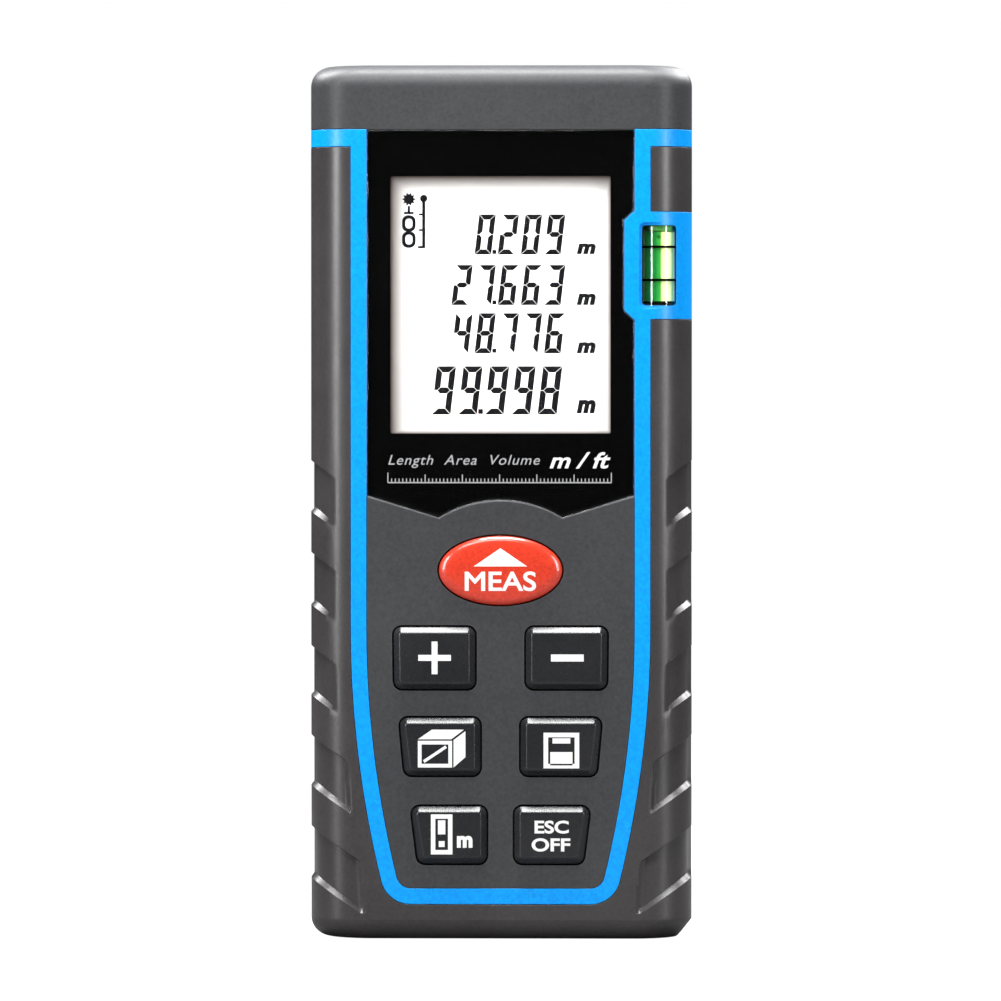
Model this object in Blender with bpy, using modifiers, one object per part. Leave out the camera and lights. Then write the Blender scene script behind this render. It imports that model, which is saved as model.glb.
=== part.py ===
"""Laser distance meter: an upright hand-held instrument, modelled as its separate pieces.

Frame: metres, +Z up along the body, the display faces -Y, and +X is on the viewer's right.
The origin is the middle of the bottom face.
"""

from math import atan2, cos, pi, radians, sin, sqrt

import bmesh
import bpy
from mathutils import Matrix, Vector

MM = 0.001

# Body
LENGTH = 118 * MM
WIDTH = 51.5 * MM
DEPTH = 28 * MM
KEY_PROUD = 0.8 * MM
SPLIT_Y = 1.0 * MM
SIDE_RADIUS = 6 * MM
REAR_RADIUS = 5 * MM
END_RADIUS = 3 * MM
CORNER_RADIUS = 2.8 * MM
EYELET_CHAMFER = (2.0 * MM, 2.6 * MM)

# Walls and clearances
FRONT_WALL = 2.4 * MM
REAR_WALL = 2.2 * MM
SIDE_WALL = 1.5 * MM
END_WALL = 2.2 * MM
SKIN = 1.0 * MM
GAP = 0.3 * MM

# Seal between the case halves
SEAL_INSET = 1.2 * MM
SEAL_WIDTH = 0.8 * MM
SEAL_DEPTH = 0.5 * MM

# Blue trim
TRIM_WIDTH = 2.1 * MM
TRIM_FROM_SIDE = 6.65 * MM
TRIM_TAPER_START = 42 * MM
TRIM_TAPER_RADIUS = 142 * MM
TRIM_BOTTOM = 5.9 * MM
TRIM_CORNER = 3 * MM
TRIM_DOWN = 8.7 * MM
TRIM_BAR = 2.3 * MM

# Level vial and its frame
VIAL_FROM_SIDE = 4.45 * MM
VIAL_Z = 90.8 * MM
VIAL_OPENING = (4.6 * MM, 10.8 * MM)
VIAL_FRAME = (9.3 * MM, 14.4 * MM)
VIAL_FRAME_CHAMFER = 1.2 * MM
VIAL_DIAMETER = 4.8 * MM
VIAL_BORE = 3.4 * MM
VIAL_LENGTH = 11.4 * MM
VIAL_DEEP = 3.2 * MM

# Display
WINDOW_THICKNESS = 1.0 * MM
WINDOW_SIDE_BOTTOM = 59.9 * MM
WINDOW_LOW_BOTTOM = 56.9 * MM
WINDOW_LOW_X = 8.35 * MM
WINDOW_MIDDLE_BOTTOM = 59.3 * MM
LCD_HALF_WIDTH = 16.0 * MM
LCD_BOTTOM = 67 * MM
LCD_TOP = 104 * MM
LCD_BORDER = 1.2 * MM
LCD_THICKNESS = 1.6 * MM
BACKLIGHT_THICKNESS = 1.4 * MM
FRAME_RIM = 1.0 * MM

# Keys: side, bottom z, top z, outer x at the top, outer x at the bottom, inner x
KEYS = {
    "plus_key": (-1, 33.8 * MM, 42.2 * MM, 14.4 * MM, 14.3 * MM, 3.4 * MM),
    "minus_key": (1, 33.8 * MM, 42.2 * MM, 14.4 * MM, 14.3 * MM, 3.4 * MM),
    "area_volume_key": (-1, 22.15 * MM, 30.0 * MM, 13.65 * MM, 12.9 * MM, 2.7 * MM),
    "memory_key": (1, 22.15 * MM, 30.0 * MM, 13.65 * MM, 12.9 * MM, 2.7 * MM),
    "reference_key": (-1, 10.3 * MM, 18.07 * MM, 12.1 * MM, 11.1 * MM, 1.85 * MM),
    "off_clear_key": (1, 10.3 * MM, 18.07 * MM, 12.1 * MM, 11.1 * MM, 1.85 * MM),
}
KEY_CORNER = 1.1 * MM
KEY_BEVEL = 0.5 * MM
KEY_TRAVEL = 0.6 * MM
KEY_FLANGE = 0.8 * MM
KEY_PLUNGER = 5.0 * MM
MEASURE_KEY_Z = 49.8 * MM
MEASURE_KEY_AXES = (8.3 * MM, 4.65 * MM)
MEASURE_KEY_TRAVEL = 0.8 * MM

# Main board
BOARD_FRONT_Y = -6.5 * MM
BOARD_THICKNESS = 1.2 * MM
BOARD_FROM_SIDE = 3.45 * MM
BOARD_BOTTOM = 13.4 * MM
BOARD_DOWN = 3.6 * MM
BOARD_FOOT = (14.4 * MM, 7.2 * MM)

# Batteries and their bay
CELL_DIAMETER = 10.5 * MM
CELL_LENGTH = 44.5 * MM
CELL_SPACING = 11.2 * MM
BAY_BOTTOM = 12.0 * MM
BAY_WALL = 1.4 * MM
BAY_FLOOR_Y = -0.4 * MM
SPRING_LENGTH = 3.2 * MM
SPRING_WIRE = 0.5 * MM
SPRING_TURNS = 3
CONTACT_THICKNESS = 0.5 * MM
CELL_NUB = 1.0 * MM
SPRING_RADII = (3.2 * MM, 1.9 * MM)

# Battery door
DOOR_HALF_WIDTH = 14.5 * MM
DOOR_BOTTOM = 7.0 * MM
DOOR_TOP = 68 * MM
DOOR_THICKNESS = 1.6 * MM
DOOR_LIP = 1.2 * MM
DOOR_HOOK = 1.0 * MM
DOOR_HOOK_X = 5 * MM
LEDGE_MARGIN = 2 * MM
DOOR_CATCH_HALF = 4 * MM
FINGER_HALF = 6 * MM
FINGER_HEIGHT = 4 * MM

# Optics
LENS_X = 11.7 * MM
LENS_Y = 4.2 * MM
LENS_DIAMETER = 12 * MM
LENS_THICKNESS = 3 * MM
LENS_DOWN = 3.6 * MM
LASER_X = -6 * MM
LASER_BARREL = 6 * MM
LASER_LENGTH = 13 * MM
LASER_WINDOW = (3.6 * MM, 0.8 * MM)
LASER_BLOCK_LENGTH = 19 * MM
OPTICS_LENGTH = 39 * MM
OPTICS_DOWN = 0.6 * MM
LASER_BLOCK_WALL = 2.1 * MM
OPTICS_WALL = 0.9 * MM
END_PLATE_PROUD = 0.2 * MM
END_PLATE_WIDTH = 17.4 * MM
END_PLATE_DEPTH = 14.0 * MM

DETECTOR_BOARD = (12 * MM, 12 * MM, 1.0 * MM)
DETECTOR_CAN = (4.6 * MM, 2.4 * MM)
EAR_THICKNESS = 1.6 * MM
EAR_HALF = 2.2 * MM
EAR_TALL = 6 * MM
COLLIMATOR = (4 * MM, 1.2 * MM)
COLLIMATOR_DOWN = 2 * MM
RIBBON_WIDTH = 7 * MM
RIBBON_THICKNESS = 0.3 * MM
RIBBON_DROP = 5 * MM
FILTER = (11 * MM, 0.8 * MM)

# Small parts on the main board
CHIP_HEIGHT = 1.0 * MM
BUZZER_PLACE = (-17.2 * MM, 42 * MM)
BUZZER_SIZE = (8.6 * MM, 2.4 * MM)
MAT_HALF_WIDTH = 15.0 * MM

# Screws
CASE_SCREWS = ((-19 * MM, 60 * MM), (19 * MM, 60 * MM), (-17.6 * MM, 10 * MM), (17.6 * MM, 10 * MM))
BOARD_SCREWS = ((-18.6 * MM, 24 * MM), (18.6 * MM, 24 * MM))
OPTICS_SCREW_X = (-19.4 * MM, 20.0 * MM)
OPTICS_SCREW_DOWN = 6 * MM
OPTICS_SCREW_UNDER = 2 * MM
CASE_SCREW_SHANK = 2.2 * MM
CASE_SCREW_HEAD = 4.0 * MM
SMALL_SCREW_SHANK = 1.8 * MM
SMALL_SCREW_HEAD = 3.2 * MM
SCREW_HEAD_HEIGHT = 1.3 * MM
SCREW_SLOT_SHARE = 0.32
SCREW_SLOT_WIDTH = 0.44 * MM
SCREW_SLOT_DEPTH = 0.6 * MM
CASE_SCREW_LENGTH = 12 * MM
BOARD_SCREW_LENGTH = 5 * MM
OPTICS_SCREW_LENGTH = 6 * MM
BOSS_WALL = 1.1 * MM

# Grip panels: the height of each one's top and bottom at the side, and how far each reaches in
GRIP_PANELS = (
    (64.6 * MM, 58.3 * MM, 3.65 * MM, 3.65 * MM),
    (52.2 * MM, 45.7 * MM, 3.65 * MM, 3.65 * MM),
    (39.6 * MM, 33.5 * MM, 3.65 * MM, 4.15 * MM),
    (27.5 * MM, 21.3 * MM, 4.95 * MM, 5.65 * MM),
    (15.2 * MM, 8.8 * MM, 6.75 * MM, 7.45 * MM),
)
GRIP_SLOPE = 0.66
GRIP_DEPTH = 0.45 * MM

# Rear label
LABEL_SIZE = (24 * MM, 30 * MM)
LABEL_Z = 91 * MM
LABEL_THICKNESS = 0.3 * MM

FRONT_Y = -DEPTH / 2 + KEY_PROUD
REAR_Y = DEPTH / 2
SHELL_TOP = LENGTH - END_PLATE_PROUD
TRIM_TOP = SHELL_TOP - TRIM_DOWN
OPTICS_TOP = SHELL_TOP - END_WALL - OPTICS_DOWN
OPTICS_BOTTOM = OPTICS_TOP - OPTICS_LENGTH
OPTICS_SCREWS = (
    (OPTICS_SCREW_X[0], OPTICS_TOP - OPTICS_SCREW_DOWN),
    (OPTICS_SCREW_X[1], OPTICS_BOTTOM - OPTICS_SCREW_UNDER),
)
LENS_Z = OPTICS_TOP - LENS_DOWN
RECEIVER_HALF_WIDTH = LENS_DIAMETER / 2 + GAP + OPTICS_WALL
OPTICS_LEFT = LASER_X - LASER_BARREL / 2 - GAP - LASER_BLOCK_WALL
OPTICS_RIGHT = LENS_X + RECEIVER_HALF_WIDTH
HALF_WIDTH = WIDTH / 2
TRIM_HALF_SPAN = HALF_WIDTH - TRIM_FROM_SIDE
VIAL_X = HALF_WIDTH - VIAL_FROM_SIDE
BOARD_HALF_WIDTH = HALF_WIDTH - BOARD_FROM_SIDE
PANEL_BACK_Y = FRONT_Y + FRONT_WALL
BOARD_BACK_Y = BOARD_FRONT_Y + BOARD_THICKNESS
BOARD_TOP = SHELL_TOP - END_WALL - BOARD_DOWN
BAY_TOP = BAY_BOTTOM + CELL_LENGTH + SPRING_LENGTH + 2 * CONTACT_THICKNESS + 5 * GAP
BAY_HALF_WIDTH = CELL_SPACING / 2 + CELL_DIAMETER / 2 + GAP
CELL_Y = BAY_FLOOR_Y + GAP + CELL_DIAMETER / 2
DOOR_INNER_Y = REAR_Y - DOOR_THICKNESS

parts = bpy.data.collections.new("laser_distance_meter")
cutters = bpy.data.collections.new("cutters")


def clear_scene():
    for obj in list(bpy.data.objects):
        bpy.data.objects.remove(obj)
    bpy.context.scene.collection.children.link(parts)
    bpy.context.scene.collection.children.link(cutters)


def material(name, colour, roughness, metallic=0.0, transmission=0.0):
    """One Principled BSDF material in a plain colour."""
    made = bpy.data.materials.new(name)
    made.use_nodes = True
    shader = made.node_tree.nodes["Principled BSDF"]
    shader.inputs["Base Color"].default_value = (*colour, 1)
    shader.inputs["Roughness"].default_value = roughness
    shader.inputs["Metallic"].default_value = metallic
    shader.inputs["Transmission Weight"].default_value = transmission
    made.diffuse_color = (*colour, 1)
    return made


def arc(centre, radius, start, end, steps):
    """Points along a circular arc, angles in radians."""
    turns = [start + (end - start) * i / steps for i in range(steps + 1)]
    return [(centre[0] + radius * cos(a), centre[1] + radius * sin(a)) for a in turns]


def rounded(corners, steps=4):
    """A closed outline through corners given as (u, v, radius), each filleted to its radius."""
    outline = []
    for i, (u, v, radius) in enumerate(corners):
        here = Vector((u, v))
        before = Vector(corners[i - 1][:2]) - here
        after = Vector(corners[(i + 1) % len(corners)][:2]) - here
        if radius <= 0:
            outline.append((u, v))
            continue
        half = before.angle(after) / 2
        centre = here + (before.normalized() + after.normalized()).normalized() * radius / sin(half)
        first = here + before.normalized() * radius / (sin(half) / cos(half)) - centre
        last = here + after.normalized() * radius / (sin(half) / cos(half)) - centre
        turn = first.angle_signed(last)
        start = atan2(first.y, first.x)
        outline += arc(centre, radius, start, start - turn, steps)
    return outline


def box_outline(u0, u1, v0, v1, radius=0.0, steps=4):
    corners = [(u0, v0, radius), (u1, v0, radius), (u1, v1, radius), (u0, v1, radius)]
    return rounded(corners, steps)


def circle(u, v, diameter, steps=16):
    return arc((u, v), diameter / 2, 0, 2 * pi, steps)[:-1]


FACING_FRONT = Matrix.Rotation(radians(90), 4, "X")
FACING_UP = Matrix.Identity(4)
FACING_SIDE = Matrix(((0, 0, 1, 0), (1, 0, 0, 0), (0, 1, 0, 0), (0, 0, 0, 1)))


def prism(name, rings, low, high, facing=FACING_FRONT, group=None):
    """A solid with a flat outline: the first ring is its edge and the others are holes.

    low and high are its two ends along the depth (FACING_FRONT), height or width.
    """
    curve = bpy.data.curves.new(name, "CURVE")
    curve.dimensions = "2D"
    curve.fill_mode = "BOTH"
    curve.extrude = (high - low) / 2
    for ring in rings:
        spline = curve.splines.new("POLY")
        spline.points.add(len(ring) - 1)
        for point, (u, v) in zip(spline.points, ring):
            point.co = (u, v, 0, 1)
        spline.use_cyclic_u = True
    middle = (low + high) / 2
    direction = facing.to_3x3() @ Vector((0, 0, 1))
    shift = direction * middle * (-1 if facing is FACING_FRONT else 1)
    return solid_from(name, curve, Matrix.Translation(shift) @ facing, group)


def solid_from(name, curve, place, group=None):
    """The curve's closed mesh as an object of its own, with its points in world space."""
    helper = bpy.data.objects.new(name + "_outline", curve)
    cutters.objects.link(helper)
    helper.matrix_world = place
    bpy.context.view_layer.update()
    evaluated = helper.evaluated_get(bpy.context.evaluated_depsgraph_get())
    mesh = bpy.data.meshes.new_from_object(evaluated)
    mesh.transform(place)
    bpy.data.objects.remove(helper)
    tidy = bmesh.new()
    tidy.from_mesh(mesh)
    bmesh.ops.remove_doubles(tidy, verts=tidy.verts, dist=1e-7)
    bmesh.ops.recalc_face_normals(tidy, faces=tidy.faces)
    tidy.to_mesh(mesh)
    tidy.free()
    mesh.name = name
    return add_object(name, mesh, group)


def add_object(name, mesh, group=None):
    made = bpy.data.objects.new(name, mesh)
    (group or parts).objects.link(made)
    if group is cutters:
        made.hide_render = True
        made.display_type = "WIRE"
    return made


def cylinder(name, diameter, start, end, group=None, end_diameter=None, steps=20):
    """A round bar or cone between two points."""
    start = Vector(start)
    end = Vector(end)
    mesh = bpy.data.meshes.new(name)
    shape = bmesh.new()
    bmesh.ops.create_cone(
        shape,
        cap_ends=True,
        segments=steps,
        radius1=diameter / 2,
        radius2=(end_diameter or diameter) / 2,
        depth=(end - start).length,
    )
    shape.to_mesh(mesh)
    shape.free()
    turn = Vector((0, 0, 1)).rotation_difference(end - start).to_matrix().to_4x4()
    mesh.transform(Matrix.Translation((start + end) / 2) @ turn)
    return add_object(name, mesh, group)


def turned(name, profile, place, steps=20, group=None):
    """A turned solid: profile is (radius, height) down the outer side, closed on its axis."""
    mesh = bpy.data.meshes.new(name)
    shape = bmesh.new()
    points = [shape.verts.new((radius, 0, height)) for radius, height in profile]
    for first, second in zip(points, points[1:]):
        shape.edges.new((first, second))
    shape.to_mesh(mesh)
    shape.free()
    made = add_object(name, mesh, group)
    screw = made.modifiers.new("turn", "SCREW")
    screw.steps = steps
    screw.render_steps = steps
    screw.use_merge_vertices = True
    screw.merge_threshold = 1e-6
    made.matrix_world = place
    return made


def boolean(target, operation, *tools):
    """Cuts, joins or keeps the target with each tool in turn. The tools stay as hidden helpers."""
    for tool in tools:
        if tool.name in parts.objects:
            parts.objects.unlink(tool)
            cutters.objects.link(tool)
        tool.hide_render = True
        tool.display_type = "WIRE"
        modifier = target.modifiers.new(tool.name, "BOOLEAN")
        modifier.operation = operation
        modifier.object = tool
    return target


def settle(target):
    """Puts the result of the object's modifiers into its mesh."""
    bpy.context.view_layer.update()
    evaluated = target.evaluated_get(bpy.context.evaluated_depsgraph_get())
    mesh = bpy.data.meshes.new_from_object(evaluated)
    target.modifiers.clear()
    target.data = mesh
    return target


def cut(target, *tools):
    return boolean(target, "DIFFERENCE", *tools)


def join(target, *tools):
    return boolean(target, "UNION", *tools)


def keep(target, *tools):
    return boolean(target, "INTERSECT", *tools)


def round_edges(target, radius, segments, chosen):
    """Rounds the edges whose two ends both satisfy chosen."""
    shape = bmesh.new()
    shape.from_mesh(target.data)
    edges = []
    for edge in shape.edges:
        flat = len(edge.link_faces) == 2 and edge.calc_face_angle() < radians(20)
        if not flat and all(chosen(vert.co) for vert in edge.verts):
            edges.append(edge)
    bmesh.ops.bevel(
        shape,
        geom=edges,
        offset=radius,
        segments=segments,
        profile=0.5,
        affect="EDGES",
        clamp_overlap=True,
    )
    shape.to_mesh(target.data)
    shape.free()
    return target


def finish(target, look, origin=None):
    """Gives a part its material, smooth round faces and, where it moves, its joint's origin."""
    target.data.materials.clear()
    target.data.materials.append(look)
    target.data.shade_smooth()
    target.data.set_sharp_from_angle(angle=radians(35))
    if origin:
        target.data.transform(Matrix.Translation(-Vector(origin)))
        target.location = origin
    return target


def body_block(name, y0, y1, side=0.0, front=0.0, end=0.0, foot=0.0, rear=0.0, group=None):
    """The body's outer form between two depths, moved in by the given amounts on each side.

    It is the meeting of its three silhouettes, seen from the front, from above and from the side.
    """
    half = HALF_WIDTH - side
    top = SHELL_TOP - end
    corner = max(CORNER_RADIUS - max(side, end), 0.3 * MM)
    across, up = EYELET_CHAMFER
    seen_front = rounded(
        [
            (-half, foot, corner),
            (half - across, foot, 0.6 * MM),
            (half, foot + up, 0.6 * MM),
            (half, top, corner),
            (-half, top, corner),
        ]
    )
    front_radius = max(SIDE_RADIUS - max(side, front), 0.3 * MM) if y0 < SPLIT_Y - GAP else 0
    rear_radius = max(REAR_RADIUS - max(side, rear), 0.3 * MM) if y1 > SPLIT_Y + GAP else 0
    near = y0 + front
    far = y1 - rear
    seen_above = rounded(
        [
            (-half, near, front_radius),
            (half, near, front_radius),
            (half, far, rear_radius),
            (-half, far, rear_radius),
        ],
        steps=6,
    )
    front_end = max(END_RADIUS - max(end, front), 0.3 * MM) if front_radius else 0
    rear_end = max(END_RADIUS - max(end, rear), 0.3 * MM) if rear_radius else 0
    seen_side = rounded(
        [(near, foot, front_end), (far, foot, rear_end), (far, top, rear_end), (near, top, front_end)]
    )
    reach = 5 * MM
    block = prism(name, [seen_front], y0 - reach, y1 + reach, group=group)
    above = prism(name + "_above", [seen_above], -reach, LENGTH + reach, FACING_UP, cutters)
    beside = prism(name + "_beside", [seen_side], -WIDTH, WIDTH, FACING_SIDE, cutters)
    return settle(keep(block, above, beside))


def trim_path(offset):
    """Half of the trim's line below its straight run, moved outward by offset, from the top down."""
    radius = TRIM_TAPER_RADIUS
    bend = (TRIM_HALF_SPAN - radius, TRIM_TAPER_START)
    corner_z = TRIM_BOTTOM + TRIM_CORNER
    reach = radius - TRIM_CORNER
    corner_x = bend[0] + sqrt(reach**2 - (corner_z - bend[1]) ** 2)
    turn = atan2(corner_z - bend[1], corner_x - bend[0])
    taper = arc(bend, radius + offset, 0, turn, 8)
    corner = arc((corner_x, corner_z), TRIM_CORNER + offset, turn, -pi / 2, 5)
    return taper + corner[1:]


def panel_outline(offset, top):
    """The area inside the trim's line, moved outward by offset, closed at a height."""
    right = [(TRIM_HALF_SPAN + offset, top)] + trim_path(offset)
    left = [(-x, z) for x, z in reversed(right)]
    return right + left


def vial_frame_outline(grow, right=WIDTH):
    """The level's blue frame seen from the front: bevelled corners towards the display."""
    width, height = VIAL_FRAME
    left = VIAL_X - width / 2 - grow
    bottom = VIAL_Z - height / 2 - grow
    top = VIAL_Z + height / 2 + grow
    chamfer = VIAL_FRAME_CHAMFER
    return [
        (left, bottom + chamfer),
        (left + chamfer, bottom),
        (right, bottom),
        (right, top),
        (left + chamfer, top),
        (left, top - chamfer),
    ]


def window_outline(grow):
    """The display window: straight sides and top, and a lower edge with two low points."""
    half = TRIM_HALF_SPAN - TRIM_WIDTH / 2 - GAP + grow
    rise = WINDOW_MIDDLE_BOTTOM - WINDOW_LOW_BOTTOM
    radius = (WINDOW_LOW_X**2 + rise**2) / (2 * rise)
    centre = (0, WINDOW_MIDDLE_BOTTOM - radius)
    lean = atan2(WINDOW_LOW_X, radius - rise)
    hump = arc(centre, radius - grow, pi / 2 + lean, pi / 2 - lean, 8)
    side_bottom = WINDOW_SIDE_BOTTOM - grow
    notch = vial_frame_outline(GAP - grow)
    low, high = notch[1][1], notch[-2][1]
    beside_frame = [(half, low), notch[1], notch[0], notch[-1], notch[-2], (half, high)]
    top = TRIM_TOP - GAP + grow
    return [(-half, side_bottom)] + hump + [(half, side_bottom)] + beside_frame + [(half, top), (-half, top)]


def front_shell(look):
    """The front case half: display panel and top cap stand out, and the skins lie round them."""
    far = SPLIT_Y + DEPTH
    under = SKIN + GAP
    shell = body_block("front_shell", FRONT_Y, far, under, under, END_WALL / 2, under)
    outer = body_block("shell_outer", FRONT_Y, far + DEPTH / 2, group=cutters)
    inside = TRIM_WIDTH / 2 + GAP
    panel = prism("shell_panel", [panel_outline(-inside, SHELL_TOP)], -DEPTH, 3 * DEPTH, group=cutters)
    cap_bottom = TRIM_TOP + GAP
    cap_edge = box_outline(-WIDTH, WIDTH, cap_bottom, LENGTH * 2)
    cap = prism("shell_cap", [cap_edge], -2 * DEPTH, 4 * DEPTH, group=cutters)
    frame = prism("shell_frame", [vial_frame_outline(GAP)], -3 * DEPTH, 5 * DEPTH, group=cutters)
    raised = settle(keep(outer, settle(cut(join(panel, cap), frame))))
    cavity = body_block(
        "shell_cavity",
        FRONT_Y,
        3 * DEPTH,
        SKIN + GAP + SIDE_WALL,
        FRONT_WALL,
        END_WALL,
        SKIN + GAP + SIDE_WALL,
        group=cutters,
    )
    edge = box_outline(-WIDTH, WIDTH, -LENGTH, 2 * LENGTH)
    behind = prism("shell_behind", [edge], SPLIT_Y - GAP / 2, 3 * DEPTH, group=cutters)
    settle(cut(join(shell, raised), cavity, behind))
    bosses = [
        cylinder(
            f"case_boss_{i}",
            CASE_SCREW_SHANK + 2 * GAP + 2 * BOSS_WALL,
            (x, PANEL_BACK_Y - 0.4 * MM, z),
            (x, SPLIT_Y - GAP / 2, z),
            cutters,
        )
        for i, (x, z) in enumerate(CASE_SCREWS)
    ]
    bosses += [
        cylinder(
            f"board_boss_{i}",
            SMALL_SCREW_SHANK + 2 * GAP + 2 * BOSS_WALL,
            (x, PANEL_BACK_Y - 0.4 * MM, z),
            (x, BOARD_FRONT_Y - GAP, z),
            cutters,
        )
        for i, (x, z) in enumerate(BOARD_SCREWS + OPTICS_SCREWS)
    ]
    join(shell, *bosses)
    pilots = [
        cylinder(
            f"case_pilot_{i}",
            CASE_SCREW_SHANK + 2 * GAP,
            (x, PANEL_BACK_Y, z),
            (x, DEPTH, z),
            cutters,
        )
        for i, (x, z) in enumerate(CASE_SCREWS)
    ]
    pilots += [
        cylinder(
            f"board_pilot_{i}",
            SMALL_SCREW_SHANK + 2 * GAP,
            (x, PANEL_BACK_Y, z),
            (x, DEPTH, z),
            cutters,
        )
        for i, (x, z) in enumerate(BOARD_SCREWS + OPTICS_SCREWS)
    ]
    cut(shell, *pilots)
    recess_y = FRONT_Y + WINDOW_THICKNESS + GAP
    cut(
        shell,
        prism("window_recess", [window_outline(GAP)], -DEPTH, recess_y, group=cutters),
        prism("display_opening", [display_opening()], -DEPTH, 0, group=cutters),
        prism("vial_opening", [vial_box(GAP)], -DEPTH, BOARD_FRONT_Y, group=cutters),
        prism("measure_key_hole", [measure_outline(GAP)], -DEPTH, 0, group=cutters),
        end_opening(),
    )
    for name, values in KEYS.items():
        cut(shell, prism(name + "_hole", [key_outline(values, GAP)], -DEPTH, 0, group=cutters))
    return finish(settle(shell), look)


def display_opening():
    """The hole behind the window that shows the display."""
    border = LCD_BORDER
    return box_outline(
        -LCD_HALF_WIDTH + border, LCD_HALF_WIDTH - border, LCD_BOTTOM + border, LCD_TOP - border
    )


def vial_box(grow):
    """The hole in the case that the level looks out of, as wide as the vial that fits in it."""
    half = VIAL_DIAMETER / 2 + grow
    tall = VIAL_LENGTH / 2 + grow
    return box_outline(VIAL_X - half, VIAL_X + half, VIAL_Z - tall, VIAL_Z + tall)


def end_opening():
    """The hole through the end wall that the lens plate fills."""
    low, high = LENS_X - END_PLATE_WIDTH / 2, LENS_X + END_PLATE_WIDTH / 2
    half = END_PLATE_DEPTH / 2
    outline = box_outline(low - GAP, high + GAP, LENS_Y - half - GAP, LENS_Y + half + GAP, 1.5 * MM)
    return prism("end_opening", [outline], SHELL_TOP - END_WALL * 1.5, LENGTH * 2, FACING_UP, cutters)


def blue_trim(look):
    """The bright line that divides the display panel from the grips, with the level's frame."""
    trim = body_block("blue_trim", FRONT_Y, SPLIT_Y - GAP / 2)
    half = TRIM_WIDTH / 2
    low = TRIM_TOP - TRIM_BAR
    right = [(WIDTH, TRIM_TOP), (WIDTH, low), (TRIM_HALF_SPAN + half, low)] + trim_path(half)
    left = [(-x, z) for x, z in reversed(right)]
    outline = right + left + panel_outline(-half, TRIM_TOP)[::-1]
    line = prism("trim_line", [outline], -DEPTH, DEPTH, group=cutters)
    frame = prism("trim_frame", [vial_frame_outline(0)], -2 * DEPTH, vial_frame_back(), group=cutters)
    keep(trim, settle(join(line, frame)))
    core = body_block("trim_core", FRONT_Y, SPLIT_Y + DEPTH, SKIN, SKIN, -DEPTH, SKIN, group=cutters)
    wide, tall = VIAL_OPENING
    opening = box_outline(
        VIAL_X - wide / 2, VIAL_X + wide / 2, VIAL_Z - tall / 2, VIAL_Z + tall / 2, 0.5 * MM
    )
    look_in = prism("level_opening", [opening], -DEPTH, 0, group=cutters)
    y = FRONT_Y + VIAL_DEEP
    reach = VIAL_LENGTH / 2 + GAP
    low, high = (VIAL_X, y, VIAL_Z - reach), (VIAL_X, y, VIAL_Z + reach)
    room = cylinder("vial_room", VIAL_DIAMETER + 2 * GAP, low, high, cutters)
    cut(trim, core, look_in, room)
    return finish(settle(trim), look)


def vial_frame_back():
    """How far back the level's frame reaches round the side."""
    return FRONT_Y + SIDE_RADIUS + 1.5 * MM


def grip_bumper(look):
    """The soft skin over both sides and the foot, with its sloping grip panels."""
    bumper = body_block("grip_bumper", FRONT_Y, SPLIT_Y - GAP / 2)
    outside = TRIM_WIDTH / 2 + GAP
    inside = prism("bumper_inside", [panel_outline(outside, LENGTH * 2)], -DEPTH, DEPTH, group=cutters)
    back = vial_frame_back() + GAP
    frame = prism("bumper_frame", [vial_frame_outline(GAP)], -2 * DEPTH, back, group=cutters)
    top = box_outline(-WIDTH, WIDTH, TRIM_TOP - TRIM_BAR - GAP, LENGTH * 2)
    above = prism("bumper_top", [top], -2 * DEPTH, 2 * DEPTH, group=cutters)
    core = body_block("bumper_core", FRONT_Y, SPLIT_Y + DEPTH, SKIN, SKIN, -DEPTH, SKIN, group=cutters)
    cut(bumper, inside, above, frame, core)
    return finish(settle(cut(bumper, grip_cutter())), look)


def grip_cutter():
    """Every grip panel, as a shallow cut that follows the skin's surface."""
    panels = []
    for side in (-1, 1):
        for number, (top, bottom, top_reach, bottom_reach) in enumerate(GRIP_PANELS):
            outline = [
                (side * WIDTH, top),
                (side * HALF_WIDTH, top),
                (side * (HALF_WIDTH - top_reach), top - top_reach * GRIP_SLOPE),
                (side * (HALF_WIDTH - bottom_reach), bottom - bottom_reach * GRIP_SLOPE),
                (side * HALF_WIDTH, bottom),
                (side * WIDTH, bottom),
            ]
            back = SPLIT_Y - 2.5 * MM
            panels.append(prism(f"grip_{side}_{number}", [outline], -DEPTH, back, group=cutters))
    grips = settle(join(panels[0], *panels[1:]))
    skin = body_block(
        "grip_floor", FRONT_Y, SPLIT_Y + DEPTH, GRIP_DEPTH, GRIP_DEPTH, -DEPTH, GRIP_DEPTH, group=cutters
    )
    return settle(cut(grips, skin))


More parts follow.
